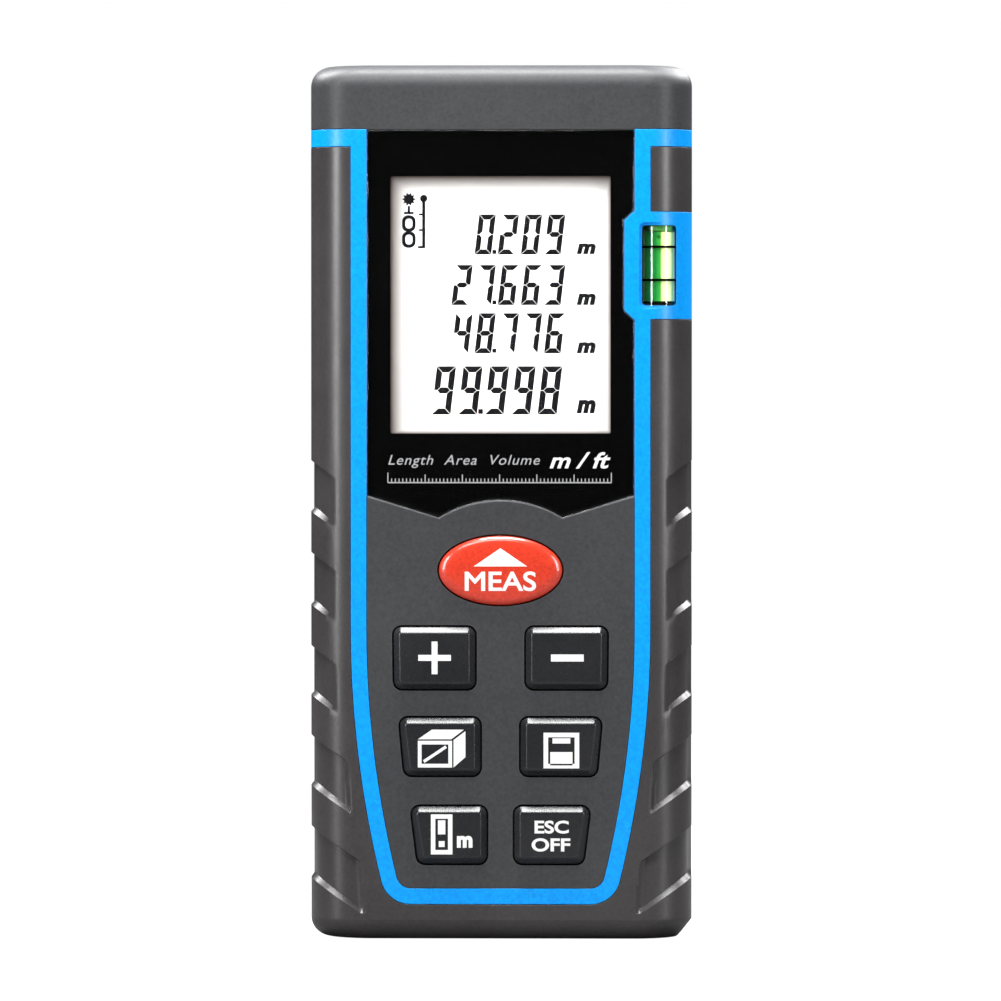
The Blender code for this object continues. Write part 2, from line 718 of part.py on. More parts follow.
def rear_shell(look):
    """The rear case half, with the battery bay, the screw posts and the seal's groove."""
    shell = body_block("rear_shell", SPLIT_Y + GAP / 2, REAR_Y)
    wall = SKIN + GAP + SIDE_WALL
    cavity = body_block(
        "rear_cavity", SPLIT_Y - DEPTH, REAR_Y, wall, 0, END_WALL, wall, REAR_WALL, group=cutters
    )
    settle(cut(shell, cavity))
    outer = BAY_HALF_WIDTH + BAY_WALL
    bay_wall = prism(
        "bay_walls",
        [box_outline(-outer, outer, BAY_BOTTOM - BAY_WALL, BAY_TOP + BAY_WALL, BAY_WALL)],
        BAY_FLOOR_Y - BAY_WALL,
        REAR_Y - 0.5 * MM,
        group=cutters,
    )
    posts = [
        cylinder(
            f"rear_post_{i}",
            CASE_SCREW_HEAD + 2 * GAP + 2 * BOSS_WALL,
            (x, SPLIT_Y + GAP / 2, z),
            (x, REAR_Y - REAR_WALL / 2, z),
            cutters,
        )
        for i, (x, z) in enumerate(CASE_SCREWS)
    ]
    ledge_front = REAR_Y - DOOR_THICKNESS - 3 * GAP - DOOR_LIP
    ledge_side = DOOR_HALF_WIDTH + LEDGE_MARGIN
    ledge_edge = box_outline(-ledge_side, ledge_side, DOOR_BOTTOM - 3 * MM, DOOR_TOP + LEDGE_MARGIN)
    ledge = prism("door_ledge", [ledge_edge], ledge_front, REAR_Y - 0.5 * MM, group=cutters)
    join(shell, bay_wall, ledge, *posts)
    bay = prism(
        "bay",
        [box_outline(-BAY_HALF_WIDTH, BAY_HALF_WIDTH, BAY_BOTTOM, BAY_TOP)],
        BAY_FLOOR_Y,
        DEPTH,
        group=cutters,
    )
    seat = prism("door_seat", [door_outline(GAP)], DOOR_INNER_Y - GAP, DEPTH, group=cutters)
    hook_reach = DOOR_HOOK_X + 2 * MM + GAP
    hooks = prism(
        "door_hook_slot",
        [box_outline(-hook_reach, hook_reach, DOOR_BOTTOM - DOOR_HOOK - GAP, BAY_BOTTOM + BAY_WALL)],
        DOOR_INNER_Y - DOOR_LIP - 2 * GAP,
        DOOR_INNER_Y,
        group=cutters,
    )
    catch = prism(
        "door_catch_slot",
        [box_outline(-DOOR_CATCH_HALF - GAP, DOOR_CATCH_HALF + GAP, BAY_TOP - MM, DOOR_TOP + GAP)],
        DOOR_INNER_Y - DOOR_LIP - 2 * GAP,
        DOOR_INNER_Y,
        group=cutters,
    )
    finger = prism(
        "finger_dip",
        [box_outline(-FINGER_HALF, FINGER_HALF, DOOR_TOP, DOOR_TOP + FINGER_HEIGHT, 2 * MM)],
        DOOR_INNER_Y + 0.4 * MM,
        DEPTH,
        group=cutters,
    )
    cut(shell, bay, seat, hooks, catch, finger, seal_ring("seal_groove", GAP, cutters))
    for i, (x, z) in enumerate(CASE_SCREWS):
        head = CASE_SCREW_HEAD + 2 * GAP
        shank = CASE_SCREW_SHANK + 2 * GAP
        head_y = screw_head_y()
        cut(shell, cylinder(f"screw_bore_{i}", shank, (x, 0, z), (x, DEPTH, z), cutters))
        cut(shell, cylinder(f"screw_well_{i}", head, (x, head_y, z), (x, DEPTH, z), cutters))
    recess_y = REAR_Y - LABEL_THICKNESS - GAP
    aperture = (LASER_X, LENS_Y, SHELL_TOP - END_WALL * 1.5)
    above = (LASER_X, LENS_Y, LENGTH * 1.1)
    seat_z = SHELL_TOP - LASER_WINDOW[1] - GAP
    cut(
        shell,
        prism("label_recess", [label_outline(GAP)], recess_y, DEPTH, group=cutters),
        end_opening(),
        cylinder("laser_hole", LASER_WINDOW[0] - 1.2 * MM, aperture, above, cutters),
        cylinder("laser_seat", LASER_WINDOW[0] + 2 * GAP, (LASER_X, LENS_Y, seat_z), above, cutters),
    )
    return finish(settle(shell), look)


def label_outline(grow):
    wide, tall = LABEL_SIZE[0] / 2 + grow, LABEL_SIZE[1] / 2 + grow
    return box_outline(-wide, wide, LABEL_Z - tall, LABEL_Z + tall, MM + grow)


def screw_head_y():
    """Where the case screws' heads seat, down inside their posts."""
    return SPLIT_Y + 3.5 * MM


def door_outline(grow):
    half = DOOR_HALF_WIDTH + grow
    return box_outline(-half, half, DOOR_BOTTOM - grow, DOOR_TOP + grow, 2 * MM)


def seal_ring(name, grow, group=None):
    """The seal between the two halves, and with grow the groove that it lies in."""
    half = SEAL_WIDTH / 2 + grow
    line = seal_outline(SEAL_INSET - half) + seal_outline(SEAL_INSET + half)[::-1]
    face = SPLIT_Y + GAP / 2
    if grow:
        return prism(name, [line], face - MM, face + SEAL_DEPTH + GAP, group=group)
    return prism(name, [line], face, face + SEAL_DEPTH, group=group)


def seal_outline(inset):
    """The seal's line inside the case wall, from the right shoulder round to the lens plate."""
    top = SHELL_TOP - inset
    half = HALF_WIDTH - inset
    across, up = EYELET_CHAMFER
    corner = 1.6 * MM
    return [
        (half, SHELL_TOP - 6 * MM),
        (half, inset + up),
        (half - across, inset),
        (-half + corner, inset),
        (-half, inset + corner),
        (-half, top - corner),
        (-half + corner, top),
        ((LENS_X - END_PLATE_WIDTH / 2) - 2 * MM, top),
    ]


def battery_door(look):
    """The rear cover over the cells, hooked at its foot and latched at its head."""
    door = prism("battery_door", [door_outline(0)], DOOR_INNER_Y, REAR_Y)
    depth = DOOR_INNER_Y - DOOR_LIP
    hooks = []
    for side in (-1, 1):
        low, high = side * DOOR_HOOK_X - 2 * MM, side * DOOR_HOOK_X + 2 * MM
        tongue = box_outline(low, high, DOOR_BOTTOM - DOOR_HOOK, DOOR_BOTTOM + 3 * MM)
        root = box_outline(low, high, DOOR_BOTTOM + GAP, DOOR_BOTTOM + 3 * MM)
        hooks.append(prism(f"hook_tongue_{side}", [tongue], depth, DOOR_INNER_Y - GAP, group=cutters))
        hooks.append(prism(f"hook_root_{side}", [root], depth, DOOR_INNER_Y + GAP, group=cutters))
    catch = box_outline(-3.5 * MM, 3.5 * MM, DOOR_TOP - 2.5 * MM, DOOR_TOP)
    hooks.append(prism("door_catch", [catch], depth, DOOR_INNER_Y + GAP, group=cutters))
    join(door, *hooks)
    ribs = [
        prism(
            f"door_rib_{i}",
            [box_outline(-7 * MM, 7 * MM, z * MM, (z + 1) * MM, 0.4 * MM)],
            REAR_Y - 0.4 * MM,
            DEPTH,
            group=cutters,
        )
        for i, z in enumerate((56, 59, 62))
    ]
    return finish(settle(cut(settle(door), *ribs)), look, door_axis())


def door_axis():
    """The line that the door swings about: its outer foot edge."""
    return (0, REAR_Y, DOOR_BOTTOM)


def key_outline(values, grow):
    """One of the six small keys seen from the front, narrower towards its foot."""
    side, bottom, top, outer_top, outer_bottom, inner = values
    radius = KEY_CORNER + max(grow, -KEY_CORNER / 2)
    corners = [
        (inner - grow, bottom - grow, radius),
        (outer_bottom + grow, bottom - grow, radius),
        (outer_top + grow, top + grow, radius),
        (inner - grow, top + grow, radius),
    ]
    return [(side * x, z) for x, z in rounded(corners)][::side]


def key_middle(values):
    side, bottom, top, outer_top, outer_bottom, inner = values
    return side * (inner + (outer_top + outer_bottom) / 2) / 2, (bottom + top) / 2


def measure_outline(grow):
    wide, tall = MEASURE_KEY_AXES
    turns = [2 * pi * i / 32 for i in range(32)]
    return [((wide + grow) * cos(a), MEASURE_KEY_Z + (tall + grow) * sin(a)) for a in turns]


def key(name, outline, flange, middle, travel, bevel, look):
    """A key cap with the flange that holds it in and the plunger that reaches the board."""
    flange_y = PANEL_BACK_Y + GAP
    cap = prism(name, [outline], FRONT_Y - KEY_PROUD, flange_y + KEY_FLANGE / 2)
    round_edges(cap, bevel, 3, lambda co: co.y < FRONT_Y - KEY_PROUD + 0.01 * MM)
    rim = prism(name + "_flange", [flange], flange_y, flange_y + KEY_FLANGE, group=cutters)
    x, z = middle
    start = (x, flange_y + KEY_FLANGE / 2, z)
    end = (x, BOARD_FRONT_Y - GAP - travel, z)
    plunger = cylinder(name + "_plunger", KEY_PLUNGER, start, end, cutters)
    return finish(settle(join(cap, rim, plunger)), look, (x, FRONT_Y - KEY_PROUD, z))


def keys(measure_look, key_look):
    rim = 3 * GAP
    key(
        "measure_key",
        measure_outline(0),
        measure_outline(rim),
        (0, MEASURE_KEY_Z),
        MEASURE_KEY_TRAVEL,
        2 * KEY_BEVEL,
        measure_look,
    )
    for name, values in KEYS.items():
        key(
            name,
            key_outline(values, 0),
            key_outline(values, rim),
            key_middle(values),
            KEY_TRAVEL,
            KEY_BEVEL,
            key_look,
        )


def keypad_mat(look):
    """The rubber mat on the board, with a well for each key's plunger."""
    travel = max(KEY_TRAVEL, MEASURE_KEY_TRAVEL)
    front = PANEL_BACK_Y + GAP + KEY_FLANGE + travel + GAP
    low = min(values[1] for values in KEYS.values()) - 1.4 * MM
    high = MEASURE_KEY_Z + MEASURE_KEY_AXES[1] + MM
    edge = box_outline(-MAT_HALF_WIDTH, MAT_HALF_WIDTH, low, high, MM)
    wells = [circle(0, MEASURE_KEY_Z, KEY_PLUNGER + 4 * GAP)]
    wells += [circle(*key_middle(values), KEY_PLUNGER + 4 * GAP) for values in KEYS.values()]
    return finish(prism("keypad_mat", [edge, *wells], front, BOARD_FRONT_Y - GAP), look)


def display(window_look, glass_look, light_look, frame_look):
    window = prism("display_window", [window_outline(0)], FRONT_Y, FRONT_Y + WINDOW_THICKNESS)
    finish(window, window_look)
    front = PANEL_BACK_Y + GAP
    half = LCD_HALF_WIDTH
    pane = box_outline(-half, half, LCD_BOTTOM, LCD_TOP)
    finish(prism("lcd_glass", [pane], front, front + LCD_THICKNESS), glass_look)
    light_front = front + LCD_THICKNESS + GAP
    backlight = prism("lcd_backlight", [pane], light_front, light_front + BACKLIGHT_THICKNESS)
    finish(backlight, light_look)
    inner = box_outline(-half - GAP, half + GAP, LCD_BOTTOM - GAP, LCD_TOP + GAP)
    rim = FRAME_RIM + GAP
    outer = box_outline(-half - rim, half + rim, LCD_BOTTOM - rim, LCD_TOP + rim, 0.6 * MM)
    finish(prism("lcd_frame", [outer, inner], front, BOARD_FRONT_Y - GAP), frame_look)


def level_vial(tube_look, fluid_look, plug_look, pad_look):
    """The spirit level: a clear tube closed by a plug, its liquid, and the pad behind it."""
    y = FRONT_Y + VIAL_DEEP
    low = VIAL_Z - VIAL_LENGTH / 2
    high = VIAL_Z + VIAL_LENGTH / 2
    floor = low + MM
    tube = cylinder("vial_body", VIAL_DIAMETER, (VIAL_X, y, low), (VIAL_X, y, high))
    bore = cylinder("vial_bore", VIAL_BORE, (VIAL_X, y, floor), (VIAL_X, y, high + MM), cutters)
    finish(settle(cut(tube, bore)), tube_look)
    plug_low = high - 1.6 * MM
    core = VIAL_BORE - 2 * GAP
    plug = cylinder("vial_plug", core, (VIAL_X, y, plug_low), (VIAL_X, y, high))
    finish(plug, plug_look)
    fluid = cylinder("vial_fluid", core, (VIAL_X, y, floor + GAP), (VIAL_X, y, plug_low - GAP))
    finish(fluid, fluid_look)
    half = VIAL_DIAMETER / 2 - 0.4 * MM
    outline = box_outline(VIAL_X - half, VIAL_X + half, low, high, 0.5 * MM)
    back = y + VIAL_DIAMETER / 2 + GAP
    finish(prism("vial_pad", [outline], back, BOARD_FRONT_Y - GAP), pad_look)


def electronics(board_look, chip_look, buzzer_look):
    half, bottom = BOARD_HALF_WIDTH, BOARD_BOTTOM
    foot_half, foot = BOARD_FOOT
    edge = rounded(
        [
            (-foot_half, foot, MM),
            (foot_half, foot, MM),
            (foot_half, bottom, 0),
            (half, bottom, MM),
            (half, BOARD_TOP, MM),
            (-half, BOARD_TOP, MM),
            (-half, bottom, MM),
            (-foot_half, bottom, 0),
        ]
    )
    boss = CASE_SCREW_SHANK + 4 * GAP + 2 * BOSS_WALL
    holes = [circle(x, z, boss) for x, z in CASE_SCREWS if z > bottom]
    small = SMALL_SCREW_SHANK + 2 * GAP
    holes += [circle(x, z, small) for x, z in BOARD_SCREWS + OPTICS_SCREWS]
    finish(prism("main_board", [edge, *holes], BOARD_FRONT_Y, BOARD_BACK_Y), board_look)
    front = BOARD_BACK_Y + GAP
    for name, x, size in (("processor_chip", -2 * MM, 7 * MM), ("ranging_chip", -12 * MM, 5 * MM)):
        z = (BAY_TOP + OPTICS_BOTTOM) / 2
        outline = box_outline(x - size / 2, x + size / 2, z - size / 2, z + size / 2)
        finish(prism(name, [outline], front, front + CHIP_HEIGHT), chip_look)
    x, z = BUZZER_PLACE
    body = cylinder("buzzer", BUZZER_SIZE[0], (x, front, z), (x, front + BUZZER_SIZE[1], z))
    sound = cylinder("buzzer_port", 2 * MM, (x, front + MM, z), (x, DEPTH, z), cutters)
    finish(settle(cut(body, sound)), buzzer_look)


def batteries(cell_look, spring_look, contact_look, foam_look):
    """Two cells side by side, head to tail, with their plates and springs."""
    plate_low = BAY_BOTTOM + GAP
    plate_high = BAY_TOP - GAP - CONTACT_THICKNESS
    spring_low = plate_low + CONTACT_THICKNESS + GAP
    y = CELL_Y
    for number, side in ((1, -1), (2, 1)):
        x = side * CELL_SPACING / 2
        low = spring_low + SPRING_LENGTH + GAP if side < 0 else spring_low
        shoulder = CELL_LENGTH - CELL_NUB
        cell = cylinder(f"battery_{number}", CELL_DIAMETER, (x, y, 0), (x, y, shoulder))
        nub = cylinder(f"nub_{number}", 3.8 * MM, (x, y, shoulder - MM), (x, y, CELL_LENGTH), cutters)
        settle(join(cell, nub))
        if side > 0:
            upside_down = Matrix.Translation((x, y, 0)) @ Matrix.Rotation(pi, 4, "X")
            cell.data.transform(upside_down @ Matrix.Translation((-x, -y, -CELL_LENGTH)))
        cell.data.transform(Matrix.Translation((0, 0, low)))
        finish(cell, cell_look)
        start = spring_low if side < 0 else plate_high - GAP - SPRING_LENGTH
        spring(f"spring_{number}", x, y, start, side > 0, spring_look)
    half = CELL_DIAMETER / 2 - MM
    ends = CELL_SPACING / 2 + half
    bridge = box_outline(-ends, ends, y - half, y + half, MM)
    high = plate_low + CONTACT_THICKNESS
    finish(prism("contact_bridge", [bridge], plate_low, high, FACING_UP), contact_look)
    for name, side in (("contact_positive", -1), ("contact_negative", 1)):
        x = side * CELL_SPACING / 2
        outline = box_outline(x - half, x + half, y - half, y + half, MM)
        top = plate_high + CONTACT_THICKNESS
        finish(prism(name, [outline], plate_high, top, FACING_UP), contact_look)
    pad = box_outline(-9 * MM, 9 * MM, 26 * MM, 50 * MM, 2 * MM)
    foam = prism("door_foam", [pad], CELL_Y + CELL_DIAMETER / 2 + GAP, DOOR_INNER_Y - GAP)
    finish(foam, foam_look, door_axis())


def spring(name, x, y, low, mirrored, look):
    """A coil that narrows towards the cell, as a wire with filled ends."""
    wire = SPRING_WIRE / 2
    curve = bpy.data.curves.new(name, "CURVE")
    curve.dimensions = "3D"
    curve.bevel_depth = wire
    curve.bevel_resolution = 1
    curve.use_fill_caps = True
    line = curve.splines.new("POLY")
    steps = SPRING_TURNS * 14
    line.points.add(steps)
    for i, point in enumerate(line.points):
        share = i / steps
        radius = SPRING_RADII[0] + (SPRING_RADII[1] - SPRING_RADII[0]) * share
        rise = wire + (SPRING_LENGTH - 2 * wire) * share
        turn = 2 * pi * SPRING_TURNS * share
        height = SPRING_LENGTH - rise if mirrored else rise
        point.co = (x + radius * cos(turn), y + radius * sin(turn), low + height, 1)
    made = solid_from(name, curve, Matrix.Identity(4))
    return finish(made, look)


def optics(block_look, lens_look, metal_look, board_look, ribbon_look):
    """The optical block with the receiving lens, the laser and the detector."""
    front = BOARD_BACK_Y + GAP
    bore = LENS_DIAMETER + 2 * GAP
    back = LENS_Y + bore / 2 + OPTICS_WALL
    receiver_left = LENS_X - RECEIVER_HALF_WIDTH
    receiver = box_outline(receiver_left, OPTICS_RIGHT, OPTICS_BOTTOM, OPTICS_TOP, MM)
    block = prism("optics_block", [receiver], front - MM, back)
    laser_foot = OPTICS_TOP - LASER_BLOCK_LENGTH
    laser = box_outline(OPTICS_LEFT, receiver_left + MM, laser_foot, OPTICS_TOP - GAP, MM)
    pieces = [prism("laser_block", [laser], front - 2 * MM, LENS_Y + LASER_BARREL, group=cutters)]
    for i, (x, z) in enumerate(OPTICS_SCREWS):
        inner = OPTICS_LEFT + 2 * MM if x < 0 else OPTICS_RIGHT - 2 * MM
        reach = EAR_HALF if x < 0 else EAR_TALL
        edge = x - EAR_HALF if x < 0 else x + EAR_HALF
        ear = box_outline(min(inner, edge), max(inner, edge), z - EAR_HALF, z + reach, MM)
        near = front - (3 + i) * MM
        pieces.append(prism(f"optics_ear_{i}", [ear], near, front + EAR_THICKNESS, group=cutters))
    join(block, *pieces)
    seat = LENS_Z - LENS_THICKNESS / 2 - GAP
    axis = (LENS_X, LENS_Y)
    laser_low = OPTICS_TOP - MM - LASER_LENGTH - GAP
    everywhere = box_outline(-WIDTH, WIDTH, -LENGTH, 2 * LENGTH)
    cuts = [
        prism("before_optics", [everywhere], -2 * DEPTH, front, group=cutters),
        cylinder("lens_bore", bore, (*axis, seat), (*axis, LENGTH), cutters, steps=24),
        cylinder(
            "light_cone", DETECTOR_CAN[0] + 2 * GAP, (*axis, OPTICS_BOTTOM - MM), (*axis, seat + MM),
            cutters, LENS_DIAMETER - 2 * MM, 24,
        ),
        cylinder(
            "laser_bore",
            LASER_BARREL + 2 * GAP,
            (LASER_X, LENS_Y, laser_low),
            (LASER_X, LENS_Y, LENGTH),
            cutters,
        ),
    ]
    small = SMALL_SCREW_SHANK + 2 * GAP
    for i, (x, z) in enumerate(OPTICS_SCREWS):
        cuts.append(cylinder(f"ear_hole_{i}", small, (x, -DEPTH, z), (x, DEPTH, z), cutters))
    finish(settle(cut(settle(block), *cuts)), block_look)
    receiving_lens(lens_look)
    retainer(metal_look)
    laser_barrel(metal_look, lens_look)
    detector(board_look, metal_look, ribbon_look)


def receiving_lens(look):
    """The receiving lens: curved on both faces, with a flat rim."""
    radius = LENS_DIAMETER / 2
    rim = LENS_THICKNESS / 2 * 0.45
    crown = LENS_THICKNESS / 2
    steps = 5
    upper = [
        (radius * i / steps, rim + (crown - rim) * (1 - (i / steps) ** 2)) for i in range(steps + 1)
    ]
    profile = upper + [(r, -h) for r, h in reversed(upper)]
    place = Matrix.Translation((LENS_X, LENS_Y, LENS_Z))
    finish(settle_world(turned("receiving_lens", profile, place)), look)


def settle_world(target):
    """Settles a turned solid and puts its points in world space."""
    place = target.matrix_basis.copy()
    settle(target)
    target.data.transform(place)
    target.matrix_basis = Matrix.Identity(4)
    return target


def retainer(look):
    """The ring that holds the receiving lens down in its bore."""
    low = LENS_Z + LENS_THICKNESS / 2 + GAP
    edge = circle(LENS_X, LENS_Y, LENS_DIAMETER, 24)
    hole = circle(LENS_X, LENS_Y, LENS_DIAMETER - 2 * MM, 24)
    finish(prism("lens_retainer", [edge, hole], low, low + MM, FACING_UP), look)


def laser_barrel(look, lens_look):
    top = OPTICS_TOP - MM
    base = (LASER_X, LENS_Y, top - LASER_LENGTH)
    barrel = cylinder("laser_barrel", LASER_BARREL, base, (LASER_X, LENS_Y, top))
    lens, thick = COLLIMATOR
    seat = (LASER_X, LENS_Y, top - COLLIMATOR_DOWN)
    bore = cylinder("barrel_bore", lens + 2 * GAP, seat, (LASER_X, LENS_Y, LENGTH), cutters)
    finish(settle(cut(barrel, bore)), look)
    low = top - COLLIMATOR_DOWN + GAP
    glass = cylinder("collimator_lens", lens, (LASER_X, LENS_Y, low), (LASER_X, LENS_Y, low + thick))
    finish(glass, lens_look)


def detector(board_look, metal_look, ribbon_look):
    top = OPTICS_BOTTOM - GAP
    low = top - DETECTOR_BOARD[2]
    half = DETECTOR_BOARD[0] / 2
    deep = DETECTOR_BOARD[1] / 2
    edge = box_outline(LENS_X - half, LENS_X + half, LENS_Y - deep, LENS_Y + deep, MM)
    finish(prism("detector_board", [edge], low, top, FACING_UP), board_look)
    width, height = DETECTOR_CAN
    base = top + GAP
    can = cylinder("detector_can", width, (LENS_X, LENS_Y, base), (LENS_X, LENS_Y, base + height))
    finish(can, metal_look)
    start = LENS_Y - deep - GAP
    end = BOARD_BACK_Y + GAP
    thick = RIBBON_THICKNESS
    line = [
        (start, top),
        (end + MM, top),
        (end, top - MM),
        (end, top - RIBBON_DROP),
        (end + thick, top - RIBBON_DROP),
        (end + thick, top - 1.2 * MM),
        (end + 1.2 * MM, top - thick),
        (start, top - thick),
    ]
    low_x, high_x = LENS_X - RIBBON_WIDTH / 2, LENS_X + RIBBON_WIDTH / 2
    finish(prism("optics_ribbon", [line], low_x, high_x, FACING_SIDE), ribbon_look)


def end_windows(plate_look, glass_look):
    """The plate over the receiving lens, its filter glass, and the laser's own window."""
    low, high = LENS_X - END_PLATE_WIDTH / 2, LENS_X + END_PLATE_WIDTH / 2
    half = END_PLATE_DEPTH / 2
    edge = box_outline(low, high, LENS_Y - half, LENS_Y + half, 1.2 * MM)
    view = circle(LENS_X, LENS_Y, FILTER[0] - 1.2 * MM, 24)
    plate = prism("end_plate", [edge, view], SHELL_TOP - END_WALL, LENGTH, FACING_UP)
    round_glass, glass_thick = FILTER
    seat = (LENS_X, LENS_Y, LENGTH - glass_thick - 2 * GAP)
    over = (LENS_X, LENS_Y, LENGTH + MM)
    well = cylinder("filter_seat", round_glass + 2 * GAP, seat, over, cutters, steps=24)
    finish(settle(cut(plate, well)), plate_look)
    base = (LENS_X, LENS_Y, seat[2] + GAP)
    face = (LENS_X, LENS_Y, seat[2] + GAP + glass_thick)
    finish(cylinder("filter_glass", round_glass, base, face, steps=24), glass_look)
    wide, thick = LASER_WINDOW
    top = SHELL_TOP - GAP / 2
    window = cylinder("laser_window", wide, (LASER_X, LENS_Y, top - thick), (LASER_X, LENS_Y, top))
    finish(window, glass_look)


def screw(name, x, z, seat, length, shank, head, look):
    """A pan-head screw driven from the rear, with a cross recess."""
    body = cylinder(name, shank, (x, seat - length, z), (x, seat + MM / 2, z), steps=12)
    under = seat + GAP / 2
    top = under + SCREW_HEAD_HEIGHT
    cap = cylinder(name + "_head", head, (x, under, z), (x, top, z), cutters, steps=16)
    settle(join(body, cap))
    arm = head * SCREW_SLOT_SHARE
    slim = SCREW_SLOT_WIDTH / 2
    floor = top - SCREW_SLOT_DEPTH
    across = box_outline(x - arm, x + arm, z - slim, z + slim)
    upright = box_outline(x - slim, x + slim, z - arm, z + arm)
    cut(body, prism(name + "_slot_a", [across], floor, DEPTH, group=cutters))
    cut(body, prism(name + "_slot_b", [upright], floor, DEPTH, group=cutters))
    return finish(settle(body), look)


def screws(look):
    for number, (x, z) in enumerate(CASE_SCREWS, 1):
        name = f"case_screw_{number}"
        screw(name, x, z, screw_head_y(), CASE_SCREW_LENGTH, CASE_SCREW_SHANK, CASE_SCREW_HEAD, look)
    for number, (x, z) in enumerate(BOARD_SCREWS, 1):
        seat = BOARD_BACK_Y + GAP / 2
        name = f"board_screw_{number}"
        screw(name, x, z, seat, BOARD_SCREW_LENGTH, SMALL_SCREW_SHANK, SMALL_SCREW_HEAD, look)
    for number, (x, z) in enumerate(OPTICS_SCREWS, 1):
        seat = BOARD_BACK_Y + GAP + EAR_THICKNESS + GAP / 2
        name = f"optics_screw_{number}"
        screw(name, x, z, seat, OPTICS_SCREW_LENGTH, SMALL_SCREW_SHANK, SMALL_SCREW_HEAD, look)


def rear_label(look):
    back = REAR_Y - GAP / 2
    finish(prism("rear_label", [label_outline(0)], back - LABEL_THICKNESS, back), look)


clear_scene()
case_plastic = material("case_plastic", (0.07, 0.07, 0.076), 0.45)
grip_rubber = material("grip_rubber", (0.05, 0.05, 0.052), 0.7)
trim_plastic = material("trim_plastic", (0.0, 0.36, 0.87), 0.35)
window_acrylic = material("window_acrylic", (0.005, 0.005, 0.006), 0.08)
lcd_look = material("lcd_look", (0.78, 0.79, 0.74), 0.3)
diffuser = material("diffuser", (0.85, 0.87, 0.85), 0.5)
white_plastic = material("white_plastic", (0.75, 0.75, 0.73), 0.5)
measure_plastic = material("measure_plastic", (0.82, 0.03, 0.015), 0.2)
key_plastic = material("key_plastic", (0.025, 0.025, 0.028), 0.35)
mat_rubber = material("mat_rubber", (0.3, 0.3, 0.3), 0.7)
board_green = material("board_green", (0.01, 0.16, 0.06), 0.4)
chip_black = material("chip_black", (0.015, 0.015, 0.016), 0.5)
brass = material("brass", (0.72, 0.5, 0.2), 0.3, 1.0)
steel = material("steel", (0.6, 0.6, 0.62), 0.3, 1.0)
spring_steel = material("spring_steel", (0.7, 0.7, 0.72), 0.25, 1.0)
cell_wrap = material("cell_wrap", (0.03, 0.12, 0.3), 0.3)
foam = material("foam", (0.02, 0.02, 0.02), 0.95)
block_plastic = material("block_plastic", (0.02, 0.02, 0.022), 0.55)
clear_glass = material("clear_glass", (0.95, 0.95, 0.97), 0.02, transmission=1.0)
filter_red = material("filter_red", (0.35, 0.01, 0.01), 0.03, transmission=0.6)
vial_acrylic = material("vial_acrylic", (0.9, 0.95, 0.8), 0.05, transmission=0.9)
vial_liquid = material("vial_liquid", (0.25, 0.75, 0.08), 0.05, transmission=0.7)
seal_rubber = material("seal_rubber", (0.03, 0.03, 0.03), 0.8)
label_film = material("label_film", (0.6, 0.6, 0.58), 0.4)
ribbon_film = material("ribbon_film", (0.6, 0.3, 0.03), 0.3)

front_shell(case_plastic)
rear_shell(case_plastic)
finish(seal_ring("case_seal", 0), seal_rubber)
blue_trim(trim_plastic)
grip_bumper(grip_rubber)
battery_door(case_plastic)
display(window_acrylic, lcd_look, diffuser, white_plastic)
keys(measure_plastic, key_plastic)
keypad_mat(mat_rubber)
level_vial(vial_acrylic, vial_liquid, vial_acrylic, foam)
electronics(board_green, chip_black, chip_black)
batteries(cell_wrap, spring_steel, steel, foam)
optics(block_plastic, clear_glass, brass, board_green, ribbon_film)
end_windows(block_plastic, filter_red)
screws(steel)
rear_label(label_film)
for helper in list(cutters.objects):
    bpy.data.objects.remove(helper)
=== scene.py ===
from math import atan2, cos, hypot, pi, radians, sin, sqrt

import bmesh
import bpy
from mathutils import Matrix, Vector


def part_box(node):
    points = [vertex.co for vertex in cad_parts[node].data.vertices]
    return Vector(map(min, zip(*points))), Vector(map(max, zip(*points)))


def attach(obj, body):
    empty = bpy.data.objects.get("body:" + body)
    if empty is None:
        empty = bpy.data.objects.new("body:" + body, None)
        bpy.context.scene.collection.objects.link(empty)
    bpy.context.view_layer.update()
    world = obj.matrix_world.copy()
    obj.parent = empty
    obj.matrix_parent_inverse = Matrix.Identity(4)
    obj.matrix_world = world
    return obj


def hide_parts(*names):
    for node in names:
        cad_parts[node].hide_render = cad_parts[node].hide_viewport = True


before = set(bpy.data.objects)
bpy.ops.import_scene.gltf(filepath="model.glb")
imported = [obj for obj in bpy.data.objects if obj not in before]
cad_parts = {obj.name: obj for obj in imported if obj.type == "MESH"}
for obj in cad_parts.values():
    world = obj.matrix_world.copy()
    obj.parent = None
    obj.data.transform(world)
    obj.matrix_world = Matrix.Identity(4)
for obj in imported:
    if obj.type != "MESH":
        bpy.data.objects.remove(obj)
for leftover in ("Cube", "Light", "Camera"):
    if leftover in bpy.data.objects:
        bpy.data.objects.remove(bpy.data.objects[leftover])
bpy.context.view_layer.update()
mm = 0.001


# Camera
# A long lens a little to the right of the meter and a little above its middle, so that both long
# sides look parallel and the top end is only just seen.
case_low, case_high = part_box("front_shell")
face_y = case_low.y
half_width = case_high.x
top_z = case_high.z

